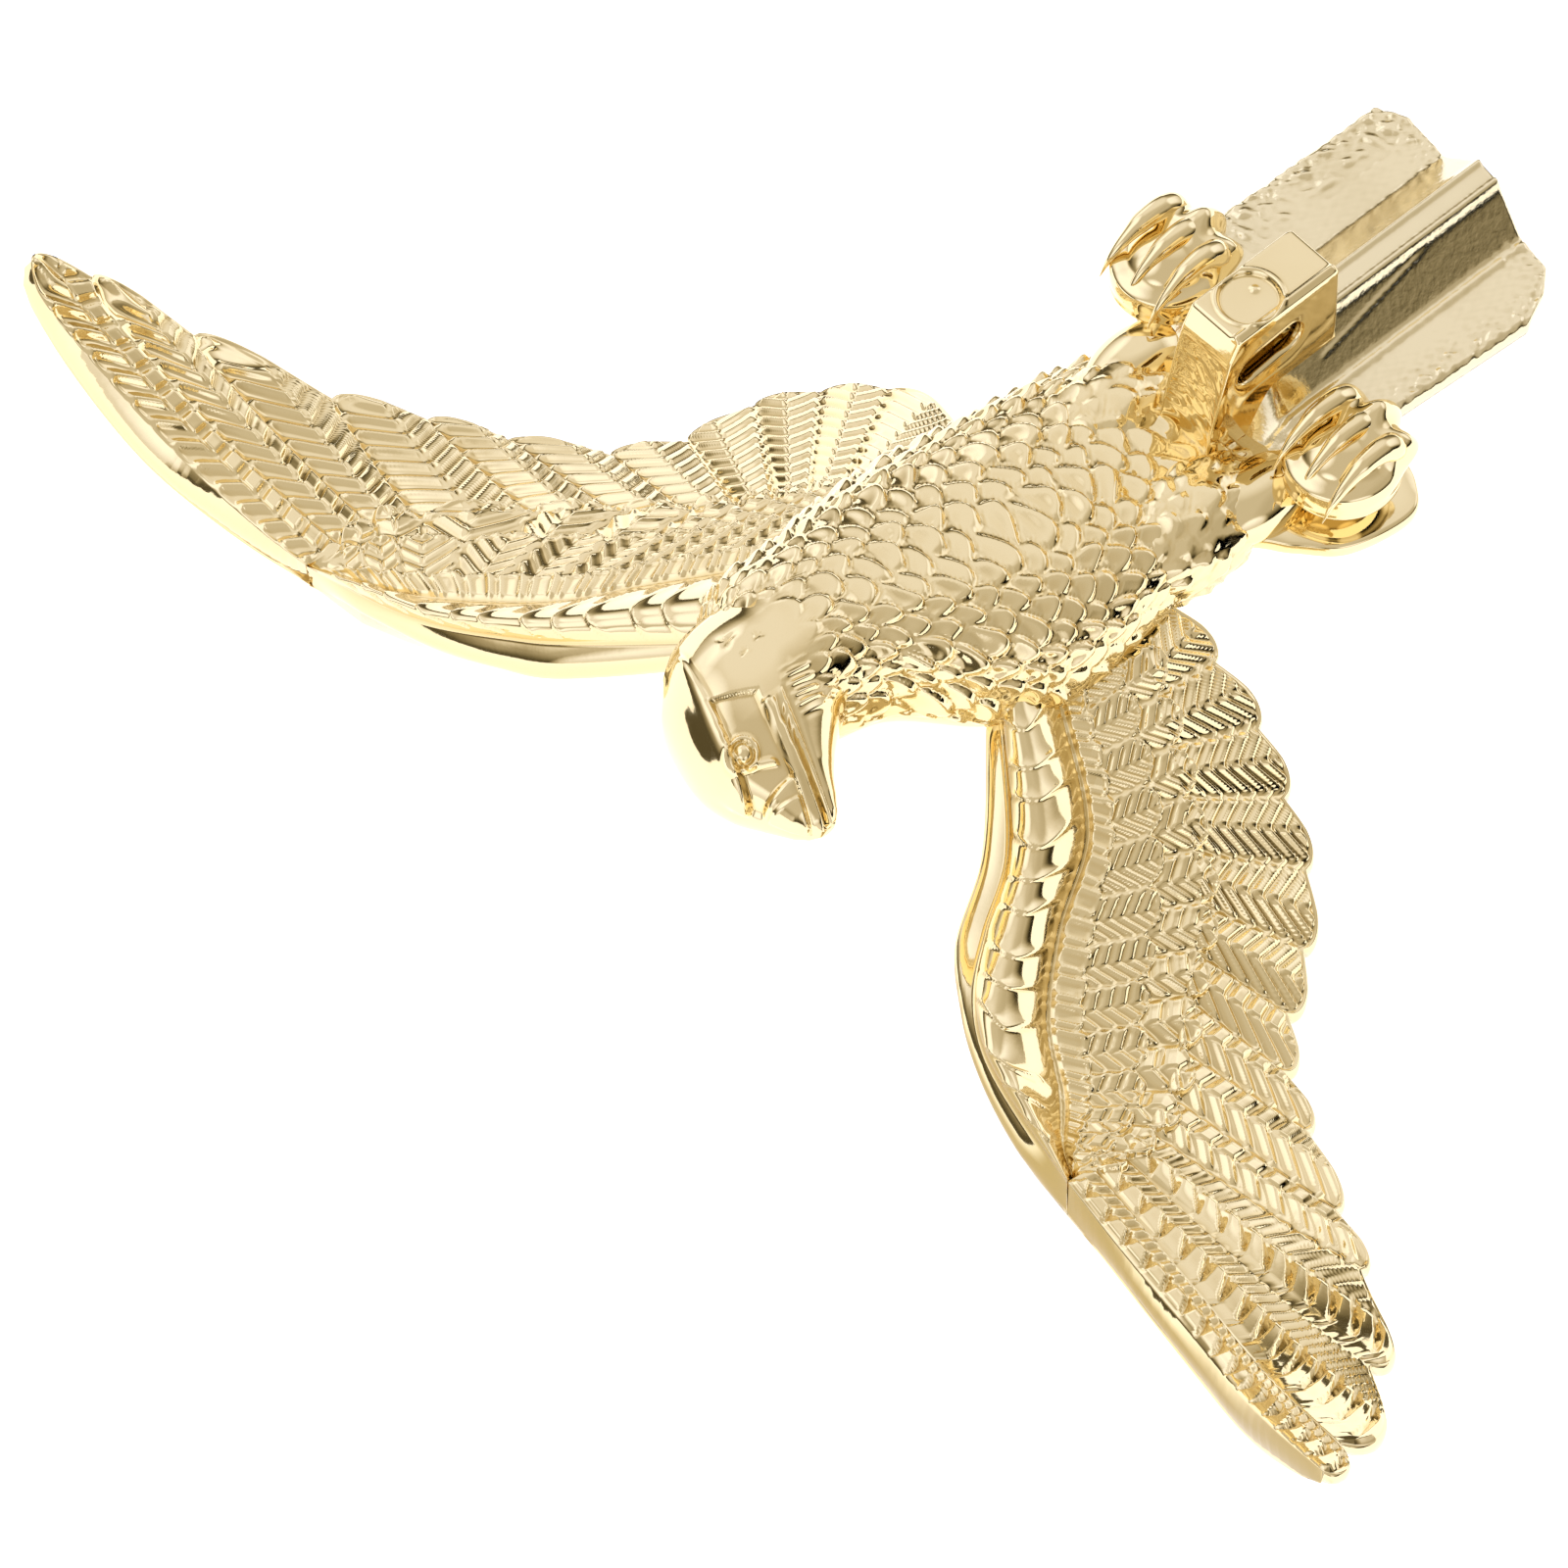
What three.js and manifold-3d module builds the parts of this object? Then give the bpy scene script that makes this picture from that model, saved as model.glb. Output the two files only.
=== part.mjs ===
// Eagle finial for the top of a flagpole: one plated casting, lying on the backs of its wings.
// Millimetres. +Z is the way the belly faces, +Y runs from the head to the tail, +X is the bird's right.
// The model frame has x = 0 in the middle of the tail and z = 0 on the tail's flat top;
// at the end the whole casting is moved so that its box stands on z = 0, centred on the origin.
import * as THREE from 'three';
import { LoftGeometry } from 'three/addons/geometries/LoftGeometry.js';
import { mergeVertices } from 'three/addons/utils/BufferGeometryUtils.js';
import Module from 'manifold-3d';

const wasm = await Module();
wasm.setup();

// Driving dimensions of the body and the head
const SCALE_LENGTH = 3.5;
const SCALE_CREST = 0.72;
const SCALE_HEIGHT = 0.55;
const BREAST_COLUMNS = 24;
const BACK_COLUMNS = 6;
const SCALES_FROM = -36;
const SCALES_TO = 15;
const FULLNESS = 0.85;
const HEAD_SIDES = 24;
const HEAD_RINGS = 17;
const EYE = { x: 4.1, y: -46.7, z: 10.2, radius: 1.35 };

// Stations of the body: place along Y, middle in X, half width, widest height, top and back
const BODY = [
  { y: -43, x: -3, half: 6.5, parting: 3.5, top: 9.5, back: -1 },
  { y: -36, x: -3.9, half: 9.4, parting: 2.5, top: 12, back: -3.5 },
  { y: -29, x: -4, half: 10.3, parting: 0, top: 10.8, back: -7 },
  { y: -21, x: -2.9, half: 14, parting: -4, top: 8.1, back: -11 },
  { y: -12, x: -2, half: 15.6, parting: -5.5, top: 5.4, back: -13.5 },
  { y: -2, x: -2, half: 14.7, parting: -5.5, top: 3, back: -14.5 },
  { y: 8, x: -2, half: 13.5, parting: -5.5, top: 0.2, back: -14 },
  { y: 17, x: -1, half: 12.8, parting: -5.5, top: -2.4, back: -12 },
  { y: 26, x: 0, half: 11, parting: -5, top: -1.6, back: -8 },
  { y: 35, x: 0, half: 7, parting: -2.5, top: 0, back: -4 },
];

// Stations of the head, which is turned to the bird's right: crown and throat in Y, back and face in Z
const HEAD = [
  { x: -11, crown: -43.5, throat: -36, back: 0, face: 7.5 },
  { x: -8.5, crown: -46.4, throat: -33.5, back: -1.6, face: 10.6 },
  { x: -5, crown: -49.6, throat: -31.5, back: -2.2, face: 12.8 },
  { x: -1, crown: -51.3, throat: -31, back: -2, face: 13.3 },
  { x: 3, crown: -52, throat: -33, back: -1.4, face: 12.6 },
  { x: 6.5, crown: -51.3, throat: -37, back: -0.4, face: 11.2 },
  { x: 9.5, crown: -49.8, throat: -40.4, back: 1, face: 9.6 },
  { x: 12, crown: -48.4, throat: -42.4, back: 2.2, face: 7.8 },
  { x: 14, crown: -47, throat: -43.8, back: 3.4, face: 6.2 },
];

// Ridges on the face, each a line in the XY plane through [x, y] with a slope: the brow and the mouth
const FACE_RIDGES = [
  { x: -1, y: -46.2, slope: -0.38, height: 0.7, width: 1.3, from: -9 },
  { x: 3, y: -42.3, slope: -0.32, height: 0.7, width: 1.3, from: 1 },
];

// Legs and feet. The casting's cross direction leans toward the head on the bird's right
const LEAN = 0.12;
const THIGH = { x: 7, y: 8.5, z: -4.6, across: 6.2, along: 10.5, deep: 5.6 };
const FOOT = { x: 14.2, y: 24, z: 1.2, across: 5.6, along: 5.6, deep: 5.8 };
const TOE_COUNT = 3;
const TOE_SPACING = 3.3;
const TOE_RADIUS = 2.1;
const CLAW_RADIUS = 0.5;
// A toe's path over the foot, as [y, z] from the foot's middle
const TOE_PATH = [[4.4, 0.5], [3.4, 3.4], [0.4, 4.7], [-3.2, 3.7], [-5, 0.6]];
const FLANGE_TOP = -4.2;
const FLANGE_THICK = 2;
// Edge of the flat rim round a leg, as [distance from the middle plane, y]
const RIM = [[4, 2], [11.6, 4.5], [12, 12.5], [15.8, 16.6], [19.5, 21], [20.8, 28.2], [18.4, 31], [14, 32], [4, 33]];

// Tail plate, seen from above, and the roof-shaped ridge along it as [x, z]
const TAIL_THICK = 2.4;
const TAIL_OUTLINE = [
  [-16.6, 18], [12, 18], [13.9, 48], [12.3, 51.7], [10.2, 54.1], [-12.2, 56.9], [-15.7, 55.3],
];
const TAIL_RIDGE = [[6.2, 0], [1.8, 5.2], [-1, 5.2], [-6.5, 0]];

// Lug between the feet, its slot and the round recess in its top
const LUG = { x: 0.4, thick: 6.8, top: 14.3, foot: -3, frontFoot: 13.6, frontTop: 17.6, rearTop: 31, rearFoot: 31.6 };
const LUG_BEVEL_Z = 11.8;
const SLOT = { y: 22, z: 8.6, length: 8.6, height: 3.8, slope: 0.12 };
const RECESS = { y: 22, radius: 3, depth: 1.1 };

// Wings. Every curve is a track over s, the count of feathers from the wing's tip to its root,
// written as [s, distance from the middle plane, y, z].
const TIP_WALL = 1.8;
const REST_Z = -30.8;
const COVERT_STEP = 0.55;
const FEATHER_RIDGE = 0.5;
const FEATHER_VALLEY = 0.25;
const LOBE = 1.6;
const COLUMNS_PER_FEATHER = 4;
const FLIGHT_ROWS = [0.04, 0.35, 0.7, 1];

const LEFT_WING = {
  side: -1,
  feathers: 11,
  tipLobe: 0.4,
  root: new THREE.Vector3(-7, -12, -7),
  notches: [
    [0, 93.8, -55.4, -4.5], [1, 91.3, -49.9, -9.5], [2, 84.3, -43, -18.7], [3, 73.2, -34.5, -26.2],
    [4, 65.8, -28.1, -28.2], [5, 58.4, -23.7, -28.2], [6, 49.5, -17.6, -27.3], [7, 45.4, -10.5, -27.4],
    [8, 45, -1.9, -28.7], [9, 41.4, 4, -28.1], [10, 35.7, 8.2, -25.6], [11, 22.9, 5.4, -15.2],
  ],
  coverts: [
    [0, 56.5, -51.3, -21.3], [2, 55.9, -43, -22.7], [3, 53.6, -39.1, -22.9], [4, 46.3, -30.4, -22.4],
    [6, 33.6, -20.6, -17.9], [8, 27.1, -15.3, -14.3], [11, 20.8, -8.2, -11.2],
  ],
  crease: [
    [0, 56.3, -51.8, -21.5], [2, 48.5, -48, -21], [4, 41.3, -43.7, -19], [6, 33.7, -38, -16.3],
    [8, 28.5, -31.7, -14.2], [11, 19, -22, -9.5],
  ],
  crest: [
    [0, 56, -52.2, -20.4], [2, 47, -51, -16.5], [4, 40, -49.3, -14.2], [6, 33, -45.5, -11.6],
    [8, 27, -40.8, -8.9], [11, 16, -30, -4],
  ],
  inner: [
    [0, 56, -52.2, -20.4], [2, 46.5, -50.6, -18.5], [4, 39.5, -48.6, -16.4], [6, 32.5, -45.6, -13.8],
    [8, 26, -42.6, -10.6], [11, 13, -33.5, -5],
  ],
  outer: [
    [0, 56, -51.6, -24.6], [2, 48, -50.3, -22.8], [4, 40, -49.3, -20.4], [6, 32.5, -47.3, -17.5],
    [8, 25.6, -44.5, -14.6], [11, 11.5, -33, -8],
  ],
  // The outer leading edge runs from the wrist, 0, to the tip, 1
  tipInner: [
    [0, 56, -52.2, -20.4], [0.2, 63.2, -52.4, -21.3], [0.5, 75.7, -53.2, -19.4], [0.8, 86.1, -55.1, -12.4],
    [0.93, 91.3, -56.4, -6.6], [1, 93.8, -55.4, -4.5],
  ],
  tipOuter: [
    [0, 56, -51.6, -24.6], [0.3, 67.9, -53.3, -25.4], [0.56, 77.7, -55.3, -22.4], [0.82, 87.3, -56.6, -15],
    [0.95, 92.9, -57, -7.6], [1, 94.2, -55.8, -5.4],
  ],
};

const RIGHT_WING = {
  side: 1,
  feathers: 13,
  tipLobe: 2,
  root: new THREE.Vector3(5, -10, -7),
  notches: [
    [0, 91.1, -53.8, -6.4], [1, 88.8, -49.1, -9.7], [2, 81.5, -37.7, -18.4], [3, 70.7, -27.8, -26],
    [4, 63.8, -24.4, -27.3], [5, 55.3, -20.1, -27.8], [6, 49.2, -17.4, -27.2], [7, 44.6, -12.5, -27.3],
    [8, 40.4, -6.3, -27.1], [9, 34.8, -0.7, -25.1], [10, 29.1, 1.5, -20.9], [11, 23.5, 3.1, -16.4],
    [12, 17.4, 2.8, -11.2], [13, 11.1, 2.4, -7.6],
  ],
  coverts: [
    [0, 46.9, -42.8, -19.3], [2, 48.2, -37.6, -20.7], [4, 45.5, -29.8, -21.9], [6, 39, -21.3, -21.4],
    [8, 33, -13.9, -19.3], [10, 25.2, -9.2, -14.3], [13, 13.6, -3.6, -6.5],
  ],
  crease: [
    [0, 47.5, -44, -19.5], [2, 44.2, -42.2, -19.7], [4, 40.5, -38.8, -19], [6, 34.2, -35, -16.8],
    [8, 28.3, -28.2, -14.7], [10, 23, -19.5, -12.4], [13, 12.5, -13.5, -7],
  ],
  crest: [
    [0, 48, -45.2, -17.6], [2, 40.9, -43.8, -14.8], [4, 35.6, -42.1, -13.1], [6, 31.6, -38.4, -11.5],
    [8, 27.3, -31.9, -10.1], [10, 22.1, -25, -7.8], [13, 11.5, -18.4, -3],
  ],
  inner: [
    [0, 48.1, -45.4, -17.7], [2, 40.5, -44.7, -15.7], [4, 33.9, -43.1, -14], [6, 29, -40, -12.8],
    [8, 25, -35, -11.8], [10, 20.6, -27.9, -10.2], [13, 10.6, -19.6, -6],
  ],
  outer: [
    [0, 49, -46.1, -22.2], [2, 41.9, -45.8, -19.9], [4, 35.1, -44.1, -17.6], [6, 29.2, -41.6, -15.3],
    [8, 23.6, -37.5, -13.1], [10, 18.8, -29.7, -11.2], [13, 9.5, -20.5, -8],
  ],
  tipInner: [
    [0, 48.1, -45.4, -17.7], [0.2, 55.5, -45.9, -19.3], [0.42, 64.9, -46.7, -20.1], [0.65, 74.1, -49, -17.7],
    [0.85, 82.8, -51.8, -11.8], [1, 91.1, -53.8, -6.4],
  ],
  tipOuter: [
    [0, 49, -46.1, -22.2], [0.26, 59.9, -46.8, -23.9], [0.52, 71.3, -48.6, -23.2], [0.74, 80.2, -51.6, -18.3],
    [0.9, 87, -53.4, -12.3], [1, 91.4, -54.4, -7.3],
  ],
};

// A track: a smooth curve through knots [s, x, y, z], a cubic between each pair whose slopes
// are those of the line between the knots on either side
function track(knots, side = 1) {
  const points = knots.map(([s, x, y, z]) => ({ s, p: new THREE.Vector3(side * x, y, z) }));
  const slope = (i) => {
    const before = points[Math.max(i - 1, 0)];
    const after = points[Math.min(i + 1, points.length - 1)];
    return after.p.clone().sub(before.p).divideScalar(after.s - before.s);
  };
  return (s) => {
    const at = points.findIndex((point) => point.s >= s);
    const i = Math.max((at < 0 ? points.length - 1 : at) - 1, 0);
    const a = points[i];
    const b = points[i + 1];
    const span = b.s - a.s;
    const t = THREE.MathUtils.clamp((s - a.s) / span, 0, 1);
    return new THREE.Vector3()
      .addScaledVector(a.p, (1 + 2 * t) * (1 - t) ** 2)
      .addScaledVector(b.p, t * t * (3 - 2 * t))
      .addScaledVector(slope(i), span * t * (1 - t) ** 2)
      .addScaledVector(slope(i + 1), span * t * t * (t - 1));
  };
}

// A polyline through the same kind of knots
function polyline(knots, side = 1) {
  const points = knots.map(([, x, y, z]) => new THREE.Vector3(side * x, y, z));
  return (s) => {
    const i = Math.min(Math.floor(s), points.length - 2);
    return points[i].clone().lerp(points[i + 1], s - i);
  };
}

// A closed solid from any closed geometry: shared corners merged, faces without area left out,
// and turned the right way round if the surface was wound inwards
function solid(geometry) {
  const plain = new THREE.BufferGeometry();
  plain.setAttribute('position', geometry.attributes.position);
  plain.setIndex(geometry.index);
  const merged = mergeVertices(plain, 1e-4);
  const place = merged.attributes.position;
  const corners = merged.index.array;
  const triangles = [];
  const [a, b, c] = [new THREE.Vector3(), new THREE.Vector3(), new THREE.Vector3()];
  let volume = 0;
  for (let i = 0; i < corners.length; i += 3) {
    const [p, q, r] = corners.slice(i, i + 3);
    if (p === q || q === r || r === p) continue;
    triangles.push([p, q, r]);
    volume += a.fromBufferAttribute(place, p).dot(
      b.fromBufferAttribute(place, q).cross(c.fromBufferAttribute(place, r)));
  }
  const wound = volume < 0 ? triangles.map(([p, q, r]) => [p, r, q]) : triangles;
  return new wasm.Manifold(new wasm.Mesh({
    numProp: 3,
    vertProperties: Float32Array.from(place.array),
    triVerts: Uint32Array.from(wound.flat()),
  }));
}

// A loft whose first and last ring are closed by a fan to their middle point
function closedLoft(rings) {
  const endRing = (ring) => {
    const middle = new THREE.Vector3();
    ring.forEach((point) => middle.addScaledVector(point, 1 / ring.length));
    return ring.map(() => middle);
  };
  return solid(new LoftGeometry([endRing(rings[0]), ...rings, endRing(rings.at(-1))]));
}

const smoothBump = (x) => Math.max(0, 1 - x * x) ** 2;

// Reads a list of stations as smooth functions of one of their fields
function stationReader(stations, along, fields) {
  return (value) => {
    const last = stations.length - 2;
    const found = stations.findIndex((station) => station[along] > value) - 1;
    const i = found < 0 ? (value < stations[0][along] ? 0 : last) : found;
    const t = (value - stations[i][along]) / (stations[i + 1][along] - stations[i][along]);
    const eased = THREE.MathUtils.clamp(t, 0, 1);
    return Object.fromEntries(fields.map((field) => {
      const here = stations[i][field];
      const next = stations[i + 1][field];
      const before = stations[Math.max(i - 1, 0)][field];
      const after = stations[Math.min(i + 2, stations.length - 1)][field];
      return [field, here + 0.5 * eased * (next - before + eased * (2 * before - 5 * here + 4 * next - after
        + eased * (3 * (here - next) + after - before)))];
    }));
  };
}

// Body: rings across Y, oval above and below the widest line. The breast carries rows of scale
// feathers: between two plain rings stands one with every other point lifted, staggered row by row,
// and set toward the tail, so that each scale rises slowly and ends in a step
function makeBody() {
  const read = stationReader(BODY, 'y', ['x', 'half', 'parting', 'top', 'back']);
  const first = BODY[0].y;
  const last = BODY.at(-1).y;
  const rows = Math.round((last - first) / SCALE_LENGTH);
  const angles = [
    ...Array.from({ length: BREAST_COLUMNS }, (_, j) => (Math.PI * j) / BREAST_COLUMNS),
    ...Array.from({ length: BACK_COLUMNS }, (_, j) => Math.PI * (1 + j / BACK_COLUMNS)),
  ];
  const rings = [];
  for (let i = 0; i <= 2 * rows; i += 1) {
    const row = Math.floor(i / 2);
    const crested = i % 2 === 1;
    const y = first + ((row + (crested ? SCALE_CREST : 0)) / rows) * (last - first);
    const { x, half, parting, top, back } = read(y);
    const scaly = crested && y > SCALES_FROM && y < SCALES_TO;
    rings.push(angles.map((angle, j) => {
      const up = Math.sin(angle);
      const height = up > 0 ? top - parting : parting - back;
      const lift = scaly && up > 0.2 && (row + j) % 2 === 0 ? SCALE_HEIGHT : 0;
      return new THREE.Vector3(
        x + (half + lift) * Math.sign(Math.cos(angle)) * Math.abs(Math.cos(angle)) ** FULLNESS,
        y,
        parting + (height + lift) * Math.sign(up) * Math.abs(up) ** (up > 0 ? FULLNESS : 1),
      );
    }));
  }
  return closedLoft(rings);
}

// Head: rings across X from the back of the head to the hooked beak, with ridges at the brow and mouth
function makeHead() {
  const read = stationReader(HEAD, 'x', ['crown', 'throat', 'back', 'face']);
  const first = HEAD[0].x;
  const last = HEAD.at(-1).x;
  const rings = [];
  for (let i = 0; i <= HEAD_RINGS; i += 1) {
    const x = first + ((last - first) * i) / HEAD_RINGS;
    const { crown, throat, back, face } = read(x);
    const middle = new THREE.Vector2((crown + throat) / 2, (back + face) / 2);
    const hook = i === HEAD_RINGS ? 0.8 : 0;
    const ring = [];
    for (let j = 0; j < HEAD_SIDES; j += 1) {
      const angle = (2 * Math.PI * j) / HEAD_SIDES;
      const across = Math.sign(Math.cos(angle)) * Math.abs(Math.cos(angle)) ** FULLNESS;
      const up = Math.sign(Math.sin(angle)) * Math.abs(Math.sin(angle)) ** FULLNESS;
      const y = middle.x + ((throat - crown) / 2) * across + hook;
      const ridges = FACE_RIDGES.map((ridge) => (x < ridge.from || up < 0 ? 0
        : ridge.height * smoothBump((y - ridge.y - ridge.slope * (x - ridge.x)) / ridge.width)));
      ring.push(new THREE.Vector3(x, y, middle.y + ((face - back) / 2) * up + Math.max(...ridges)));
    }
    rings.push(ring);
  }
  const eye = new THREE.SphereGeometry(EYE.radius, 10, 8).translate(EYE.x, EYE.y, EYE.z);
  return closedLoft(rings).add(solid(eye));
}

// One wing: rings round the wing's section, one station for each step of s, closed by a station
// that runs along the outer leading edge and by the root's point inside the body
function makeWing(wing) {
  const notches = polyline(wing.notches, wing.side);
  const [coverts, crease, crest, inner, outer, tipInner, tipOuter] = [
    wing.coverts, wing.crease, wing.crest, wing.inner, wing.outer, wing.tipInner, wing.tipOuter,
  ].map((knots) => track(knots, wing.side));
  const up = (point, lift) => new THREE.Vector3(point.x, point.y, point.z + lift);
  const mix = (a, b, t) => a.clone().lerp(b, t);
  const onBack = (point, depth) => new THREE.Vector3(point.x, point.y, Math.max(point.z - depth, REST_Z));

  // The rounded end of each feather stands out square to the line between its notches
  const edgeAt = (s) => {
    const f = s - Math.floor(s);
    const first = Math.min(Math.floor(s), wing.feathers - 1);
    const chord = notches(first + 1).sub(notches(first)).normalize();
    const base = notches(s);
    const out = base.clone().sub(coverts(s));
    out.addScaledVector(chord, -out.dot(chord)).normalize();
    const lobe = LOBE + wing.tipLobe * smoothBump((s - 1.6) / 1.5);
    return base.addScaledVector(out, lobe * Math.sin(Math.PI * f ** 0.6));
  };
  const flight = (s, t, edge) => {
    const straight = mix(coverts(s), edgeAt(s), t);
    const bend = edge(t).sub(mix(coverts(0), edgeAt(0), t));
    return straight.addScaledVector(bend, Math.max(0, 1 - s / 5) ** 2);
  };
  const ridge = (s) => {
    const f = s - Math.floor(s);
    return FEATHER_RIDGE - (FEATHER_RIDGE + FEATHER_VALLEY) * Math.abs(2 * f - 1);
  };

  const ringAt = (s) => {
    const grow = Math.min(1, s / 1.5);
    const lift = ridge(s) * grow;
    const covert = coverts(s);
    return [
      inner(s),
      up(mix(inner(s), crest(s), 0.6), 0.5 * grow),
      up(crest(s), 0.5 * grow),
      up(mix(crest(s), crease(s), 0.5), 0.6 * grow),
      crease(s),
      up(mix(crease(s), covert, 0.34), 0.7 * grow + 0.5 * lift),
      up(mix(crease(s), covert, 0.67), 0.7 * grow + 0.8 * lift),
      up(covert, COVERT_STEP * grow + lift),
      ...FLIGHT_ROWS.map((t) => up(flight(s, t, tipInner), lift * (1 - 0.4 * t))),
      ...FLIGHT_ROWS.toReversed().map((t) => onBack(flight(s, t, tipInner), TIP_WALL + 1.3 * (1 - t))),
      onBack(covert, 3.2),
      onBack(crease(s), 3.2 + 1.3 * grow),
      onBack(mix(outer(s), crease(s), 0.3), 0.8 + 2.8 * grow),
      outer(s),
    ];
  };
  const wrist = tipOuter(0);
  const edgeRing = [
    ...Array.from({ length: 8 }, () => wrist),
    ...FLIGHT_ROWS.map(tipOuter),
    ...FLIGHT_ROWS.toReversed().map(tipOuter),
    ...Array.from({ length: 4 }, () => wrist),
  ];
  const rings = [edgeRing];
  const steps = wing.feathers * COLUMNS_PER_FEATHER;
  for (let i = 0; i <= steps; i += 1) rings.push(ringAt(i / COLUMNS_PER_FEATHER));
  rings.push(edgeRing.map(() => wing.root));
  return solid(new LoftGeometry(rings));
}

// A tapered round bar along a curve, closed to a blunt point at its end
function makeTaper(points, startRadius, endRadius, sides, steps) {
  const curve = new THREE.CatmullRomCurve3(points.map((p) => new THREE.Vector3(...p)));
  const frames = curve.computeFrenetFrames(steps, false);
  const rings = [];
  for (let i = 0; i <= steps; i += 1) {
    const centre = curve.getPoint(i / steps);
    const radius = THREE.MathUtils.lerp(startRadius, endRadius, (i / steps) ** 1.3);
    const ring = [];
    for (let j = 0; j < sides; j += 1) {
      const angle = (2 * Math.PI * j) / sides;
      ring.push(centre.clone()
        .addScaledVector(frames.normals[i], radius * Math.cos(angle))
        .addScaledVector(frames.binormals[i], radius * Math.sin(angle)));
    }
    rings.push(ring);
  }
  return closedLoft(rings);
}

function makeEllipsoid({ x, y, z, across, along, deep }, side, wide, high) {
  const ball = new THREE.SphereGeometry(1, wide, high);
  ball.scale(across, along, deep).translate(side * x, y - LEAN * side * x, z);
  return solid(ball);
}

// One leg: thigh, clenched foot, toes that curl over it into claws, and the flat rim at the parting line
function makeLeg(side) {
  const parts = [makeEllipsoid(THIGH, side, 14, 10), makeEllipsoid(FOOT, side, 12, 9)];
  for (let k = 0; k < TOE_COUNT; k += 1) {
    const x = side * (FOOT.x + TOE_SPACING * (k - (TOE_COUNT - 1) / 2));
    const path = TOE_PATH.map(([y, z]) => [x, FOOT.y + y - LEAN * x, FOOT.z + z]);
    parts.push(makeTaper(path, TOE_RADIUS, CLAW_RADIUS, 7, 7));
  }
  const rim = new THREE.Shape([
    new THREE.Vector2(side * RIM[0][0], RIM[0][1]),
    ...new THREE.SplineCurve(RIM.slice(1, -1).map(([x, y]) => (
      new THREE.Vector2(side * x, y - LEAN * side * x)))).getPoints(16),
    new THREE.Vector2(side * RIM.at(-1)[0], RIM.at(-1)[1]),
  ]);
  const plate = new THREE.ExtrudeGeometry(rim, { depth: FLANGE_THICK, bevelEnabled: false });
  plate.translate(0, 0, FLANGE_TOP - FLANGE_THICK);
  parts.push(solid(plate));
  return parts.reduce((all, part) => all.add(part));
}

// Tail: its section extruded along Y, cut to the tail's outline
function makeTail() {
  const half = Math.max(...TAIL_OUTLINE.map(([x]) => Math.abs(x)));
  const start = Math.min(...TAIL_OUTLINE.map(([, y]) => y));
  const end = Math.max(...TAIL_OUTLINE.map(([, y]) => y));
  const corners = (list) => new THREE.Shape(list.map(([x, y]) => new THREE.Vector2(x, y)));
  const section = corners([[-half, -TAIL_THICK], [half, -TAIL_THICK], [half, 0], ...TAIL_RIDGE, [-half, 0]]);
  const bar = new THREE.ExtrudeGeometry(section, { depth: end - start, bevelEnabled: false });
  bar.rotateX(Math.PI / 2).translate(0, end, 0);
  const block = new THREE.ExtrudeGeometry(corners(TAIL_OUTLINE), { depth: 2 * half, bevelEnabled: false });
  block.translate(0, 0, -half);
  return solid(bar).intersect(solid(block));
}

// Lug: its side view extruded across X, with the slot through it and the recess in its top
function makeLug() {
  const side = new THREE.Shape([
    [LUG.frontFoot, LUG.foot], [LUG.rearFoot, LUG.foot], [LUG.rearTop, LUG.top], [LUG.frontTop, LUG.top],
    [LUG.frontTop - 1.2, LUG_BEVEL_Z], [LUG.frontFoot + 0.8, 2.6],
  ].map(([y, z]) => new THREE.Vector2(y, z)));
  const radius = SLOT.height / 2;
  const reach = SLOT.length / 2 - radius;
  const slot = new THREE.Path();
  const rise = Math.atan(SLOT.slope);
  const [dy, dz] = [reach * Math.cos(rise), reach * Math.sin(rise)];
  slot.absarc(SLOT.y + dy, SLOT.z + dz, radius, rise - Math.PI / 2, rise + Math.PI / 2, false);
  slot.absarc(SLOT.y - dy, SLOT.z - dz, radius, rise + Math.PI / 2, rise + 1.5 * Math.PI, false);
  side.holes.push(slot);
  const plate = new THREE.ExtrudeGeometry(side, { depth: LUG.thick, bevelEnabled: false, curveSegments: 8 });
  // The shape's x and y become the part's y and z, and its depth runs along x
  plate.applyMatrix4(new THREE.Matrix4().makeBasis(
    new THREE.Vector3(0, 1, 0), new THREE.Vector3(0, 0, 1), new THREE.Vector3(1, 0, 0)));
  plate.translate(LUG.x - LUG.thick / 2, 0, 0);
  const recess = new THREE.CylinderGeometry(RECESS.radius, RECESS.radius * 0.9, 2 * RECESS.depth, 20);
  recess.rotateX(Math.PI / 2).translate(LUG.x, RECESS.y, LUG.top);
  return solid(plate).subtract(solid(recess));
}

// The whole casting joined, then moved onto its resting frame
function makeEagle() {
  const casting = [
    makeHead(), makeWing(LEFT_WING), makeWing(RIGHT_WING), makeLeg(-1), makeLeg(1), makeTail(), makeLug(),
  ].reduce((all, part) => all.add(part), makeBody());
  const mesh = casting.getMesh();
  const geometry = new THREE.BufferGeometry();
  geometry.setAttribute('position', new THREE.BufferAttribute(mesh.vertProperties, 3));
  geometry.setIndex(new THREE.BufferAttribute(mesh.triVerts, 1));
  geometry.computeBoundingBox();
  const box = geometry.boundingBox;
  geometry.translate(-(box.min.x + box.max.x) / 2, -(box.min.y + box.max.y) / 2, -box.min.z);
  geometry.computeVertexNormals();
  return geometry;
}

const plated = new THREE.MeshStandardMaterial({ color: 0xe8cf8e, roughness: 0.14, metalness: 1 });
const eagle = new THREE.Mesh(makeEagle(), plated);
eagle.name = 'eagle';

const finial = new THREE.Group();
finial.add(eagle);

export default finial;
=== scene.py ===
import logging
import math
from collections.abc import Callable
from dataclasses import dataclass
from enum import Enum

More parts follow.
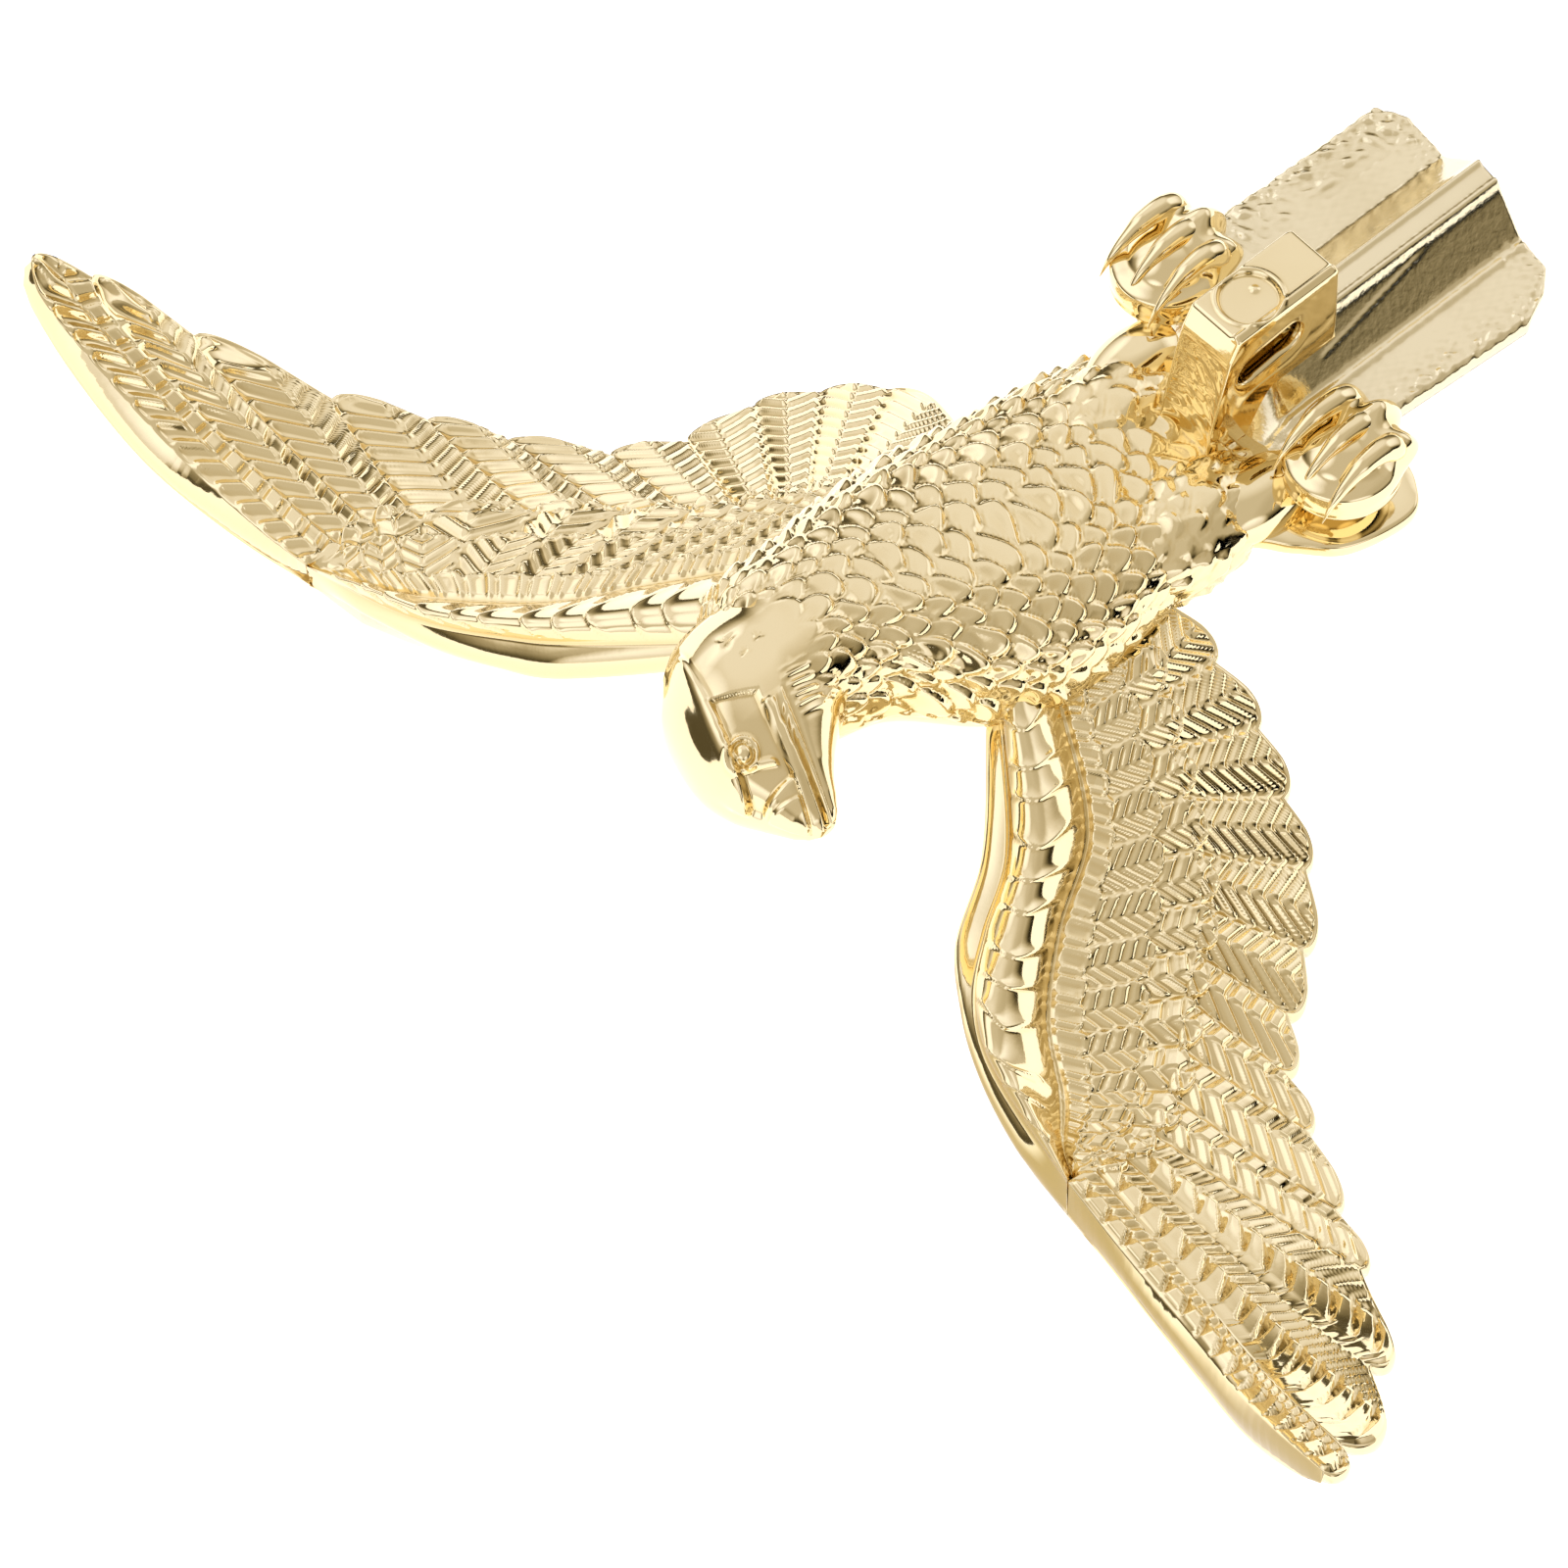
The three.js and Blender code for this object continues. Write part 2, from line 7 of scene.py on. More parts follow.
import bmesh
import bpy
import numpy as np
from mathutils import Matrix, Vector


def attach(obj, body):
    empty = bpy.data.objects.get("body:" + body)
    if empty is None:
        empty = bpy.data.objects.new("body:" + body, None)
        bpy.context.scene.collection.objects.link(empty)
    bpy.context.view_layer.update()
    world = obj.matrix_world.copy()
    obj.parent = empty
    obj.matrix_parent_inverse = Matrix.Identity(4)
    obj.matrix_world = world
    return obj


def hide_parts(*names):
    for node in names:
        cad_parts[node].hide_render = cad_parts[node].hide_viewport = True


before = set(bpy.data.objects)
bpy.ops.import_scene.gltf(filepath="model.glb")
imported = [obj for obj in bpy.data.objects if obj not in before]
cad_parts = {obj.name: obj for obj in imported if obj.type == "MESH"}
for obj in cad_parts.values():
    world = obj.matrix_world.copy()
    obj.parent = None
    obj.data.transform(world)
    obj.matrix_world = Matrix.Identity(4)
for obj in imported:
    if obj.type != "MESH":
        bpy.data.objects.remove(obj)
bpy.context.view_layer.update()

LOG = logging.getLogger("eagle")
MILLIMETRE = 0.001

# Where the casting's model frame lies, in millimetres: the tail's farthest corner in plan, and the
# height of the plane that the casting rests on
TAIL_CORNER = (-12.2, 56.9)
REST_Z = -30.8

# What every piece belongs to: its body, and the imported node that it stands for
BODY = "root"
NODE = "eagle"

# The vertex attribute that holds the share of painted shade, a darker gold laid where shade falls
PAINTED_SHADE = "painted_shade"

# The power of the sine and cosine round a section, which is fuller than an oval where it is below 1
FULLNESS = 0.85
# The slant of legs and rims, in millimetres along Y per millimetre across
LEAN = 0.12
# A number that keeps signs and divisions away from nought
TINY = 1e-9

# Rows of (place along the curve, x, y, z)
Knots = list[tuple[float, float, float, float]]


def smooth(value: np.ndarray) -> np.ndarray:
    """A soft step from 0 to 1 while value goes from 0 to 1: three squares less two cubes."""
    held = np.clip(value, 0.0, 1.0)
    return held * held * (3.0 - 2.0 * held)


def hump(value: np.ndarray) -> np.ndarray:
    """A bell of height 1 at value 0 that fades as the exponential of minus the square."""
    return np.exp(-np.square(value))


def mix(a: np.ndarray, b: np.ndarray, share: np.ndarray | float) -> np.ndarray:
    """A straight blend from a to b."""
    return a + (b - a) * share


def signed_power(value: np.ndarray, power: np.ndarray | float) -> np.ndarray:
    """A power of the value's size, with the value's sign."""
    return np.sign(value) * np.abs(value) ** power


def ripple(x: np.ndarray, y: np.ndarray, z: np.ndarray, size: float, seed: int) -> np.ndarray:
    """Smooth unevenness from -1 to 1: a sum of sine waves in set directions.

    Args:
        x: First coordinate, in millimetres.
        y: Second coordinate.
        z: Third coordinate.
        size: Typical length of a wave, in millimetres.
        seed: Which set of directions and phases.

    Returns:
        The sum of the waves, one value per point.
    """
    rng = np.random.default_rng(seed)
    waves, gain = 9, 1.6
    total = np.zeros(np.broadcast(x, y, z).shape)
    for _ in range(waves):
        way = rng.normal(size=3)
        way *= 2.0 * math.pi / size / np.linalg.norm(way) * rng.uniform(0.6, 1.5)
        total = total + np.sin(way[0] * x + way[1] * y + way[2] * z + rng.uniform(0, 2 * math.pi))
    return total / waves * gain


class Track:
    """A smooth curve through knots, a cubic between each pair, whose slope at a knot is that of
    the line between the knots on either side of it."""

    def __init__(self, knots: Knots, side: int = 1) -> None:
        """Reads the knots.

        Args:
            knots: Rows of (s, distance from the middle plane, y, z), in millimetres.
            side: 1 for the bird's right, -1 for its left.
        """
        table = np.array(knots, dtype=float)
        self.stations = table[:, 0]
        self.places = table[:, 1:] * np.array([side, 1.0, 1.0])
        count = len(table)
        before = np.maximum(np.arange(count) - 1, 0)
        after = np.minimum(np.arange(count) + 1, count - 1)
        run = (self.stations[after] - self.stations[before])[:, None]
        self.slopes = (self.places[after] - self.places[before]) / run

    def __call__(self, s: np.ndarray) -> np.ndarray:
        """Reads the curve.

        Args:
            s: Where to read.

        Returns:
            The points, in the shape of s with a last axis of 3.
        """
        s = np.asarray(s, dtype=float)
        i = np.clip(np.searchsorted(self.stations, s) - 1, 0, len(self.stations) - 2)
        span = (self.stations[i + 1] - self.stations[i])[..., None]
        t = np.clip((s[..., None] - self.stations[i][..., None]) / span, 0.0, 1.0)
        return (
            self.places[i] * (1 + 2 * t) * (1 - t) ** 2
            + self.places[i + 1] * t * t * (3 - 2 * t)
            + self.slopes[i] * span * t * (1 - t) ** 2
            + self.slopes[i + 1] * span * t * t * (t - 1)
        )


def along_polyline(knots: Knots, side: int, s: np.ndarray) -> np.ndarray:
    """Points of the straight-line path through the knots.

    Args:
        knots: Rows of (s, distance from the middle plane, y, z), in millimetres.
        side: 1 for the bird's right, -1 for its left.
        s: Where to read.

    Returns:
        One point per place.
    """
    table = np.array(knots, dtype=float)
    place = [np.interp(s, table[:, 0], table[:, 1 + axis]) for axis in range(3)]
    return np.stack([place[0] * side, place[1], place[2]], axis=-1)


def full_turn(count: int) -> np.ndarray:
    """Angles round a full turn in even steps, its end left out."""
    return np.linspace(0, 2 * math.pi, count, endpoint=False)


def read_stations(table: np.ndarray, at: np.ndarray) -> list[np.ndarray]:
    """Reads columns of a table of stations as smooth curves of its first column.

    Args:
        table: One row per station, the first column rising.
        at: Where to read.

    Returns:
        One array per further column, by cubics between the stations, whose slope at a station is
        half the step from the station before it to the one after it.
    """
    where = table[:, 0]
    last = len(where) - 2
    i = np.clip(np.searchsorted(where, at, side="right") - 1, 0, last)
    t = np.clip((at - where[i]) / (where[i + 1] - where[i]), 0.0, 1.0)
    out = []
    for column in table.T[1:]:
        here, there = column[i], column[i + 1]
        before = column[np.maximum(i - 1, 0)]
        after = column[np.minimum(i + 2, last + 1)]
        out.append(here + 0.5 * t * (there - before + t * (
            2 * before - 5 * here + 4 * there - after + t * (3 * (here - there) + after - before))))
    return out


def vertex_vectors(mesh: bpy.types.Mesh, kind: str) -> np.ndarray:
    """A vector of every vertex, its place ("co") or its "normal", as rows of three."""
    flat = np.zeros(3 * len(mesh.vertices))
    mesh.vertices.foreach_get(kind, flat)
    return flat.reshape(-1, 3)


def model_shift() -> np.ndarray:
    """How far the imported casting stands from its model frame, in millimetres: read from the tail
    corner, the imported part's farthest point along Y, and from the rest plane."""
    corners = vertex_vectors(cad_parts[NODE].data, "co") / MILLIMETRE
    far = corners[np.argmax(corners[:, 1])]
    return np.array([far[0] - TAIL_CORNER[0], far[1] - TAIL_CORNER[1], -REST_Z])


SHIFT = model_shift()


def to_frame(points: np.ndarray) -> np.ndarray:
    """Model millimetres to the frame's metres."""
    return (points + SHIFT) * MILLIMETRE


def unit(vectors: np.ndarray) -> np.ndarray:
    """The same vectors at length 1."""
    return vectors / np.maximum(np.linalg.norm(vectors, axis=-1, keepdims=True), TINY)


def travelled(points: np.ndarray) -> np.ndarray:
    """Distance along each row of points from its first one: the running sum of its steps."""
    steps = np.linalg.norm(np.diff(points, axis=-2), axis=-1)
    return np.concatenate([np.zeros((*steps.shape[:-1], 1)), np.cumsum(steps, axis=-1)], axis=-1)


def surface_normals(points: np.ndarray) -> np.ndarray:
    """Normals of a grid surface, as long as its cells are large: the cross product of its two
    directions of travel."""
    return np.cross(np.gradient(points, axis=0), np.gradient(points, axis=1))


def outward_normals(points: np.ndarray, middle: np.ndarray) -> np.ndarray:
    """Unit normals of a grid surface, turned away from the middle of each ring."""
    normals = unit(surface_normals(points))
    return normals * np.sign(np.sum(normals * (points - middle), axis=-1, keepdims=True) + TINY)


def linked(name: str, data: bpy.types.ID) -> bpy.types.Object:
    """A new object of the scene that shows the data."""
    made = bpy.data.objects.new(name, data)
    bpy.context.scene.collection.objects.link(made)
    return made


def grid_object(name: str, points: np.ndarray, wrap_rows: bool = False,
                close_ends: bool = True) -> bpy.types.Object:
    """Makes a mesh object from a grid of points, one quad per cell, each row closed on itself.

    Args:
        name: Name of the object.
        points: Rows by columns by 3, in model millimetres.
        wrap_rows: Whether the last row joins the first.
        close_ends: Whether the first and the last row are closed by a fan to their middle.

    Returns:
        The object, smooth shaded, with its faces outwards and its doubled points merged.
    """
    rows, columns = points.shape[:2]
    flat = points.reshape(-1, 3)
    row_count = rows if wrap_rows else rows - 1
    r, c = np.meshgrid(np.arange(row_count), np.arange(columns), indexing="ij")
    r2, c2 = (r + 1) % rows, (c + 1) % columns
    quads = np.stack([r * columns + c, r * columns + c2, r2 * columns + c2, r2 * columns + c], axis=-1)
    faces = quads.reshape(-1, 4).tolist()
    if close_ends and not wrap_rows:
        middles = np.stack([points[0].mean(axis=0), points[-1].mean(axis=0)])
        flat = np.concatenate([flat, middles])
        around = np.arange(columns)
        beyond = (around + 1) % columns
        first, last = rows * columns, rows * columns + 1
        top = (rows - 1) * columns
        faces += np.stack([beyond, around, np.full_like(around, first)], axis=-1).tolist()
        faces += np.stack([top + around, top + beyond, np.full_like(around, last)], axis=-1).tolist()
    mesh = bpy.data.meshes.new(name)
    mesh.from_pydata(to_frame(flat).tolist(), [], faces)
    piece = linked(name, mesh)
    tidy_mesh(mesh)
    return piece


def tidy_mesh(mesh: bpy.types.Mesh) -> None:
    """Merges doubled points, drops empty faces, turns the faces outwards and shades them smooth.

    Args:
        mesh: The mesh, changed in place.
    """
    same_point, no_length = 2e-6, 1e-7
    work = bmesh.new()
    work.from_mesh(mesh)
    bmesh.ops.remove_doubles(work, verts=work.verts, dist=same_point)
    bmesh.ops.dissolve_degenerate(work, edges=work.edges, dist=no_length)
    bmesh.ops.recalc_face_normals(work, faces=work.faces)
    work.to_mesh(mesh)
    work.free()
    mesh.polygons.foreach_set("use_smooth", np.ones(len(mesh.polygons), dtype=bool))
    mesh.update()


class Socket:
    """A node's output, or a number, on which the arithmetic of the shader is written."""

    def __init__(self, tree: "Shader", link: bpy.types.NodeSocket | float) -> None:
        """Wraps a link or a number."""
        self.tree = tree
        self.link = link

    def _math(self, operation: str, a: object, b: object = 0.0) -> "Socket":
        """One Math node on two values."""
        return self.tree.node("ShaderNodeMath", {"operation": operation}, {0: a, 1: b})

    def __add__(self, other: object) -> "Socket":
        """Sum."""
        return self._math("ADD", self, other)

    __radd__ = __add__

    def __sub__(self, other: object) -> "Socket":
        """Difference."""
        return self._math("SUBTRACT", self, other)

    def __rsub__(self, other: object) -> "Socket":
        """Difference, with this value taken away."""
        return self._math("SUBTRACT", other, self)

    def __mul__(self, other: object) -> "Socket":
        """Product."""
        return self._math("MULTIPLY", self, other)

    __rmul__ = __mul__

    def clamp(self) -> "Socket":
        """Held between 0 and 1."""
        return self.tree.node("ShaderNodeClamp", {}, {"Value": self})


class Shader:
    """A node tree, with one method that makes any node."""

    def __init__(self, tree: bpy.types.NodeTree) -> None:
        """Starts from an empty tree."""
        self.tree = tree
        tree.nodes.clear()

    def node(self, kind: str, settings: dict, values: dict, output: int | str = 0) -> Socket:
        """Adds a node.

        Args:
            kind: Blender's type of node.
            settings: Properties, set first.
            values: Numbers, colours or Sockets for its inputs, by name or place.
            output: Which output to hand back.

        Returns:
            That output, or 0 from a node that has none.
        """
        made = self.tree.nodes.new(kind)
        for key, value in settings.items():
            setattr(made, key, value)
        for key, value in values.items():
            if isinstance(value, Socket):
                self.tree.links.new(value.link, made.inputs[key])
            else:
                made.inputs[key].default_value = value
        return Socket(self, made.outputs[output]) if len(made.outputs) else Socket(self, 0.0)

    def blend(self, share: Socket, first: Socket | tuple, second: Socket | tuple) -> Socket:
        """A colour between two, by a Mix node."""
        return self.node("ShaderNodeMix", {"data_type": "RGBA"}, {"Factor": share, 6: first, 7: second}, 2)


@dataclass(frozen=True)
class GoldPlate:
    """Bright gold plate over a casting: painted shade that deepens the tint in hollows and on marked faces, a
    little haze, and the skin of the cast. Sizes of the unevenness are in millimetres."""

    name: str
    colour: tuple[float, float, float] = (0.93, 0.76, 0.41)
    # Painted shade: a darker amber laid in hollows, and a darker gold laid on faces marked with painted shade
    painted_hollow_colour: tuple[float, float, float] = (0.64, 0.42, 0.10)
    painted_shade_colour: tuple[float, float, float] = (0.42, 0.29, 0.09)
    # How fast the painted shade deepens the tint in a hollow, how much it wanders at random, and how deep it
    # is on a flat
    hollow_gain: float = 8.0
    cloud_gain: float = 0.5
    flat_depth: float = 0.04
    roughness: float = 0.07
    haze: float = 0.05
    cloud_size: float = 14.0
    peel_size: float = 1.1
    peel_height: float = 0.010
    pit_size: float = 0.35
    pit_height: float = 0.004

    def build(self) -> bpy.types.Material:
        """Makes the material.

        Returns:
            A metal with painted shade that deepens its tint in hollows and on marked faces, whose roughness
            wanders and whose skin is a fine orange peel with small pits.
        """
        material = bpy.data.materials.new(self.name)
        material.use_nodes = True
        shader = Shader(material.node_tree)
        place = shader.node("ShaderNodeTexCoord", {}, {}, "Object")

        def noise(size: float, detail: float, roughness: float) -> Socket:
            """Noise of about that size over the piece's own space."""
            return shader.node("ShaderNodeTexNoise", {}, {
                "Vector": place, "Scale": 1.0 / MILLIMETRE / size, "Detail": detail, "Roughness": roughness})

        cloud = noise(self.cloud_size, 3.0, 0.5)
        peel = noise(self.peel_size, 2.0, 0.45)
        pits = noise(self.pit_size, 2.0, 0.6)
        # Painted shade: the tint deepens in hollows, found by pointiness, and on faces whose vertices carry a
        # share of painted shade
        hollow = shader.node("ShaderNodeNewGeometry", {}, {}, "Pointiness")
        wall = shader.node("ShaderNodeAttribute", {"attribute_name": PAINTED_SHADE}, {}, "Fac")
        depth = (0.5 - hollow) * self.hollow_gain + (cloud - 0.5) * self.cloud_gain + self.flat_depth
        tint = shader.blend(depth.clamp(), (*self.colour, 1.0), (*self.painted_hollow_colour, 1.0))
        skin = shader.node("ShaderNodeBump", {}, {
            "Strength": 1.0, "Distance": MILLIMETRE,
            "Height": peel * self.peel_height + pits * self.pit_height})
        metal = shader.node("ShaderNodeBsdfPrincipled", {}, {
            "Base Color": shader.blend(wall, tint, (*self.painted_shade_colour, 1.0)),
            "Roughness": (cloud - 0.5) * self.haze + self.roughness,
            "Normal": skin,
            "Metallic": 1.0,
        })
        shader.node("ShaderNodeOutputMaterial", {}, {"Surface": metal})
        return material


@dataclass(frozen=True)
class Paper:
    """Pale paper of the floor, with a glow of its own that keeps it even."""

    name: str = "floor_paper"
    colour: tuple[float, float, float] = (0.9, 0.9, 0.895)
    roughness: float = 0.9
    glow_colour: tuple[float, float, float] = (0.78, 0.84, 1.0)
    glow: float = 0.86

    def build(self) -> bpy.types.Material:
        """Makes the material.

        Returns:
            An even, dull white that glows a little.
        """
        material = bpy.data.materials.new(self.name)
        material.use_nodes = True
        shader = Shader(material.node_tree)
        paper = shader.node("ShaderNodeBsdfPrincipled", {}, {
            "Base Color": (*self.colour, 1.0), "Roughness": self.roughness,
            "Emission Color": (*self.glow_colour, 1.0), "Emission Strength": self.glow})
        shader.node("ShaderNodeOutputMaterial", {}, {"Surface": paper})
        return material


class Skin(Enum):
    """The three states of the cast surface under the plate."""

    POLISHED = GoldPlate("gold_polished", roughness=0.06, peel_height=0.006, pit_height=0.001)
    FEATHERED = GoldPlate("gold_feathered", peel_height=0.007, pit_height=0.002)
    # The rough skin's painted shade in hollows is a duller amber
    ROUGH = GoldPlate("gold_rough", colour=(0.90, 0.76, 0.45), painted_hollow_colour=(0.55, 0.42, 0.17),
                      roughness=0.14, peel_size=0.9, peel_height=0.03, pit_size=0.4, pit_height=0.012)


def paint_shade(mesh: bpy.types.Mesh, share: np.ndarray) -> None:
    """Stores the share of painted shade at each vertex: a darker gold laid where shade falls."""
    mesh.attributes.new(PAINTED_SHADE, "FLOAT", "POINT").data.foreach_set("value", share.astype(np.float32))


def dress(piece: bpy.types.Object, skin: Skin) -> bpy.types.Object:
    """Gives a piece its finish and fixes it to the casting.

    Args:
        piece: The new piece.
        skin: Its finish.

    Returns:
        The same piece.
    """
    material = bpy.data.materials.get(skin.value.name) or skin.value.build()
    piece.data.materials.append(material)
    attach(piece, BODY)
    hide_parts(NODE)
    LOG.info("%s: %d faces", piece.name, len(piece.data.polygons))
    return piece


@dataclass(frozen=True)
class Vane:
    """The herringbone of a feather, with its shaft and its raised border. Heights are in millimetres,
    and the width of a bar and the length of a cut are shares of the pitch."""

    # Height of the barbs: an even part, and a part for each millimetre of pitch
    height: float = 0.10
    height_per_pitch: float = 0.18
    shaft_height: float = 0.12
    border_height: float = 0.22
    # Width of shaft and border, in millimetres
    line_width: float = 0.2
    bar_at_shaft: float = 0.3
    bar_at_border: float = 0.18
    # Length of a wedge cut at the shaft, and its depth over the height of the barbs
    cut_length: float = 0.72
    cut_depth: float = 1.7
    # How each border lies against the next feather
    leading_step: float = -0.10
    trailing_step: float = 0.14

    def relief(self, along: np.ndarray, across: np.ndarray, half: np.ndarray, barbs: list[np.ndarray],
               teeth: np.ndarray | float) -> np.ndarray:
        """Height of the herringbone over a feather.

        A barb leaves the shaft and sweeps toward the tip: its phase is the distance along, less the
        sweep times the distance across, over the pitch. The leading side has bars that narrow toward
        the border or, where teeth is 1, wedge cuts that are widest at the shaft and end in a point.
        The other side has plates or, where teeth is 1, fine bars at half the pitch.

        Args:
            along: Distance along the shaft.
            across: Signed distance across it, below 0 on the leading side.
            half: Distance from the shaft to the feather's border.
            barbs: Pitch, leading sweep and other sweep.
            teeth: Share of the wedge cuts.

        Returns:
            Height in millimetres.
        """
        pitch, lead_sweep, trail_sweep = barbs
        away = np.abs(across)
        share = np.clip(away / half, 0.0, 1.0)
        lead = np.mod((along - lead_sweep * away) / pitch, 1.0)
        trail = np.mod((along - trail_sweep * away) / pitch, 1.0)
        bars = hump((lead - 0.5) / mix(self.bar_at_shaft, self.bar_at_border, share))
        cut_end = np.maximum(self.cut_length * (1 - share), 0.03)
        cut = smooth(lead / 0.08) * np.clip(1 - lead / cut_end, 0.0, 1.0)
        plates = smooth(trail / 0.2) * smooth((0.84 - trail) / 0.2)
        fine = 0.5 - 0.5 * np.cos(4 * math.pi * trail)
        leading = mix(bars, 1 - self.cut_depth * cut, teeth)
        trailing = mix(0.8 * plates, 0.7 * fine, teeth)
        wide = smooth((half - 0.3) / 0.7)
        inside = smooth(away / 0.25) * smooth((half - away - 0.1) / 0.35)
        step = np.where(across < 0, self.leading_step, self.trailing_step)
        overlap = step * smooth((share - 0.55) / 0.45)
        line = (self.shaft_height * hump(across / self.line_width)
                + self.border_height * hump((half - away) / self.line_width))
        tall = self.height + self.height_per_pitch * pitch
        return tall * np.where(across < 0, leading, trailing) * inside * wide + (line + overlap) * wide


@dataclass(frozen=True)
class CovertRow:
    """A row of coverts. Its free ends lie short of the flight feathers by a share of the coverts'
    length and are bowed toward the rear edge, in millimetres."""

    short: float
    bow: float
    per_feather: float
    offset: float
    raised: float

    def free_end(self, s: np.ndarray, length: np.ndarray, scale: np.ndarray) -> np.ndarray:
        """Where the row ends: a line plus a bow, one less a power of the place across a covert.

        Args:
            s: Feather count of each column.
            length: Length of the coverts in each column.
            scale: Share of the full bow in each column.

        Returns:
            Distance past the start of the flight feathers, in millimetres.
        """
        place = 2 * np.mod(s * self.per_feather + self.offset, 1.0) - 1
        return -self.short * length + self.bow * (1 - np.abs(place) ** 2.4)[:, None] * scale


@dataclass
class Wing:
    """A spread wing, seen from below the bird.

    Every curve is a list of knots (s, distance from the middle plane, y, z) in millimetres, where s
    counts feathers from the wing tip to the root. The barbs are rows of (s, pitch, sweep on the
    leading side, sweep on the other), a sweep being millimetres along per millimetre across.
    """

    name: str
    side: int
    feathers: int
    # A point inside the body, on which the wing closes
    root: tuple[float, float, float]
    # How much further the lobes near the tip stand out
    tip_lobe: float
    barbs: tuple
    # Notches of the rear edge, start of the flight feathers, crease behind the arm, the arm's crest,
    # and the upper and the lower edge of its front wall
    notches: Knots
    coverts: Knots
    crease: Knots
    crest: Knots
    inner: Knots
    outer: Knots
    # The same two edges of the outer part, from 0 at the wrist to 1 at the wing tip
    tip_inner: Knots
    tip_outer: Knots
    # Whether the first feathers have wedge cuts
    toothed: bool = False
    # Points across a feather, over the arm, along the coverts and along the flight feathers, and how
    # many rows of the upper side there are for one of the back
    columns_per_feather: int = 28
    arm_rows: int = 28
    covert_rows: int = 62
    flight_rows: int = 175
    back_step: int = 6
    # Thickness at the rear edge, how far its rim stands out, and how far the lobes do
    tip_wall: float = 1.8
    rim_round: float = 0.22
    lobe: float = 1.6
    # How far the coverts stand over the sheet, a feather's middle over it, the border between two
    # feathers below it, and the rear edge's line over it
    covert_step: float = 0.55
    ridge: float = 0.26
    valley: float = 0.14
    rim_height: float = 0.22
    # How far the arm is puffed up over its crest, and how many marks it has, and how high
    arm_puff: float = 0.7
    arm_marks: int = 13
    mark_height: float = 0.5
    plates_per_feather: float = 1.6
    # How far the front wall bulges, and the share of painted shade on it, which stands for the shadow it
    # reflects
    bulge: float = 0.8
    wall_shade: float = 0.15
    vane: Vane = Vane()

    def curve(self, knots: Knots, s: np.ndarray) -> np.ndarray:
        """Points of the smooth curve through the knots, on this wing's side."""
        return Track(knots, self.side)(s)

    def grown(self, s: np.ndarray) -> np.ndarray:
        """Share of the full relief, which is reached a feather and a half from the tip."""
        return np.minimum(1.0, s / 1.5)[:, None]

    def edge(self, s: np.ndarray) -> np.ndarray:
        """The rear edge: the line from notch to notch, pushed out square to itself in rounded lobes,
        by the sine of half a turn of the place along the lobe to the power 0.6.

        Args:
            s: Feather count of each column.

        Returns:
            One point per column.
        """
        whole = np.minimum(np.floor(s), self.feathers - 1)
        base, first, last = (along_polyline(self.notches, self.side, at) for at in (s, whole, whole + 1))
        chord = unit(last - first)
        out = base - self.curve(self.coverts, s)
        out = unit(out - chord * np.sum(out * chord, axis=-1, keepdims=True))
        near_tip = np.square(np.maximum(0.0, 1 - np.square((s - 1.6) / 1.5)))
        size = self.lobe + self.tip_lobe * near_tip
        return base + out * (size * np.sin(math.pi * np.mod(s, 1.0) ** 0.6))[:, None]

    def flight(self, s: np.ndarray, t: np.ndarray) -> np.ndarray:
        """The flight feathers' sheet: straight from the coverts, t = 0, to the rear edge, t = 1, and
        bent near the tip so that its first column follows the upper edge of the front wall.

        Args:
            s: Feather count of each column.
            t: Place of each row.

        Returns:
            Columns by rows by 3.
        """
        def straight(at: np.ndarray) -> np.ndarray:
            """Straight lines from the coverts to the rear edge, at those feather counts."""
            return mix(self.curve(self.coverts, at)[:, None], self.edge(at)[:, None], t[None, :, None])

        bend = self.curve(self.tip_inner, t)[None] - straight(np.array([0.0]))
        return straight(s) + bend * np.square(np.maximum(0.0, 1 - s / 5))[:, None, None]

    def arm(self, s: np.ndarray, p: np.ndarray) -> np.ndarray:
        """The rounded arm from the wall, p = 0, over the crest to the crease, p = 1: the straight line
        between them, plus the crest's rise over its middle times a power of the sine of half a turn
        of p.

        Args:
            s: Feather count of each column.
            p: Place of each row.

        Returns:
            Columns by rows by 3.
        """
        inner, crest, crease = (self.curve(knots, s) for knots in (self.inner, self.crest, self.crease))
        rise = crest + np.array([0.0, 0.0, self.arm_puff]) * self.grown(s) - (inner + crease) / 2
        arch = np.sin(math.pi * p)[None, :, None] ** 0.8
        return mix(inner[:, None], crease[:, None], p[None, :, None]) + rise[:, None] * arch

    def feather_frame(self, sheet: np.ndarray, s: np.ndarray, offset: float) -> tuple[np.ndarray, ...]:
        """Place of each point of a sheet in its own feather.

        Args:
            sheet: Columns by rows by 3, rows running along the feathers.
            s: Feather count of each column.
            offset: Share of a feather by which this row of feathers is staggered.

        Returns:
            Distance along the shaft, signed distance across it (below 0 on the leading side) and the
            distance from the shaft to the feather's border.
        """
        least_half = 0.2
        whole = np.floor(s + offset + 1e-6) - offset

        def column_at(place: np.ndarray) -> np.ndarray:
            """The sheet's columns at those feather counts."""
            return sheet[np.clip(np.round(place * self.columns_per_feather).astype(int), 0, len(s) - 1)]

        shaft = column_at(whole + 0.5)
        way = unit(np.gradient(shaft, axis=1))

        def across(points: np.ndarray) -> tuple[np.ndarray, np.ndarray]:
            """How far points lie along the shaft from its nearest row, and square to it."""
            gap = points - shaft
            on = np.sum(gap * way, axis=-1)
            return on, np.linalg.norm(gap - way * on[..., None], axis=-1)

        sign = np.sign(s - whole - 0.5)[:, None]
        on, square = across(sheet)
        half = np.where(sign < 0, across(column_at(whole))[1], across(column_at(whole + 1))[1])
        return travelled(shaft) + on, square * sign, np.maximum(half, least_half)

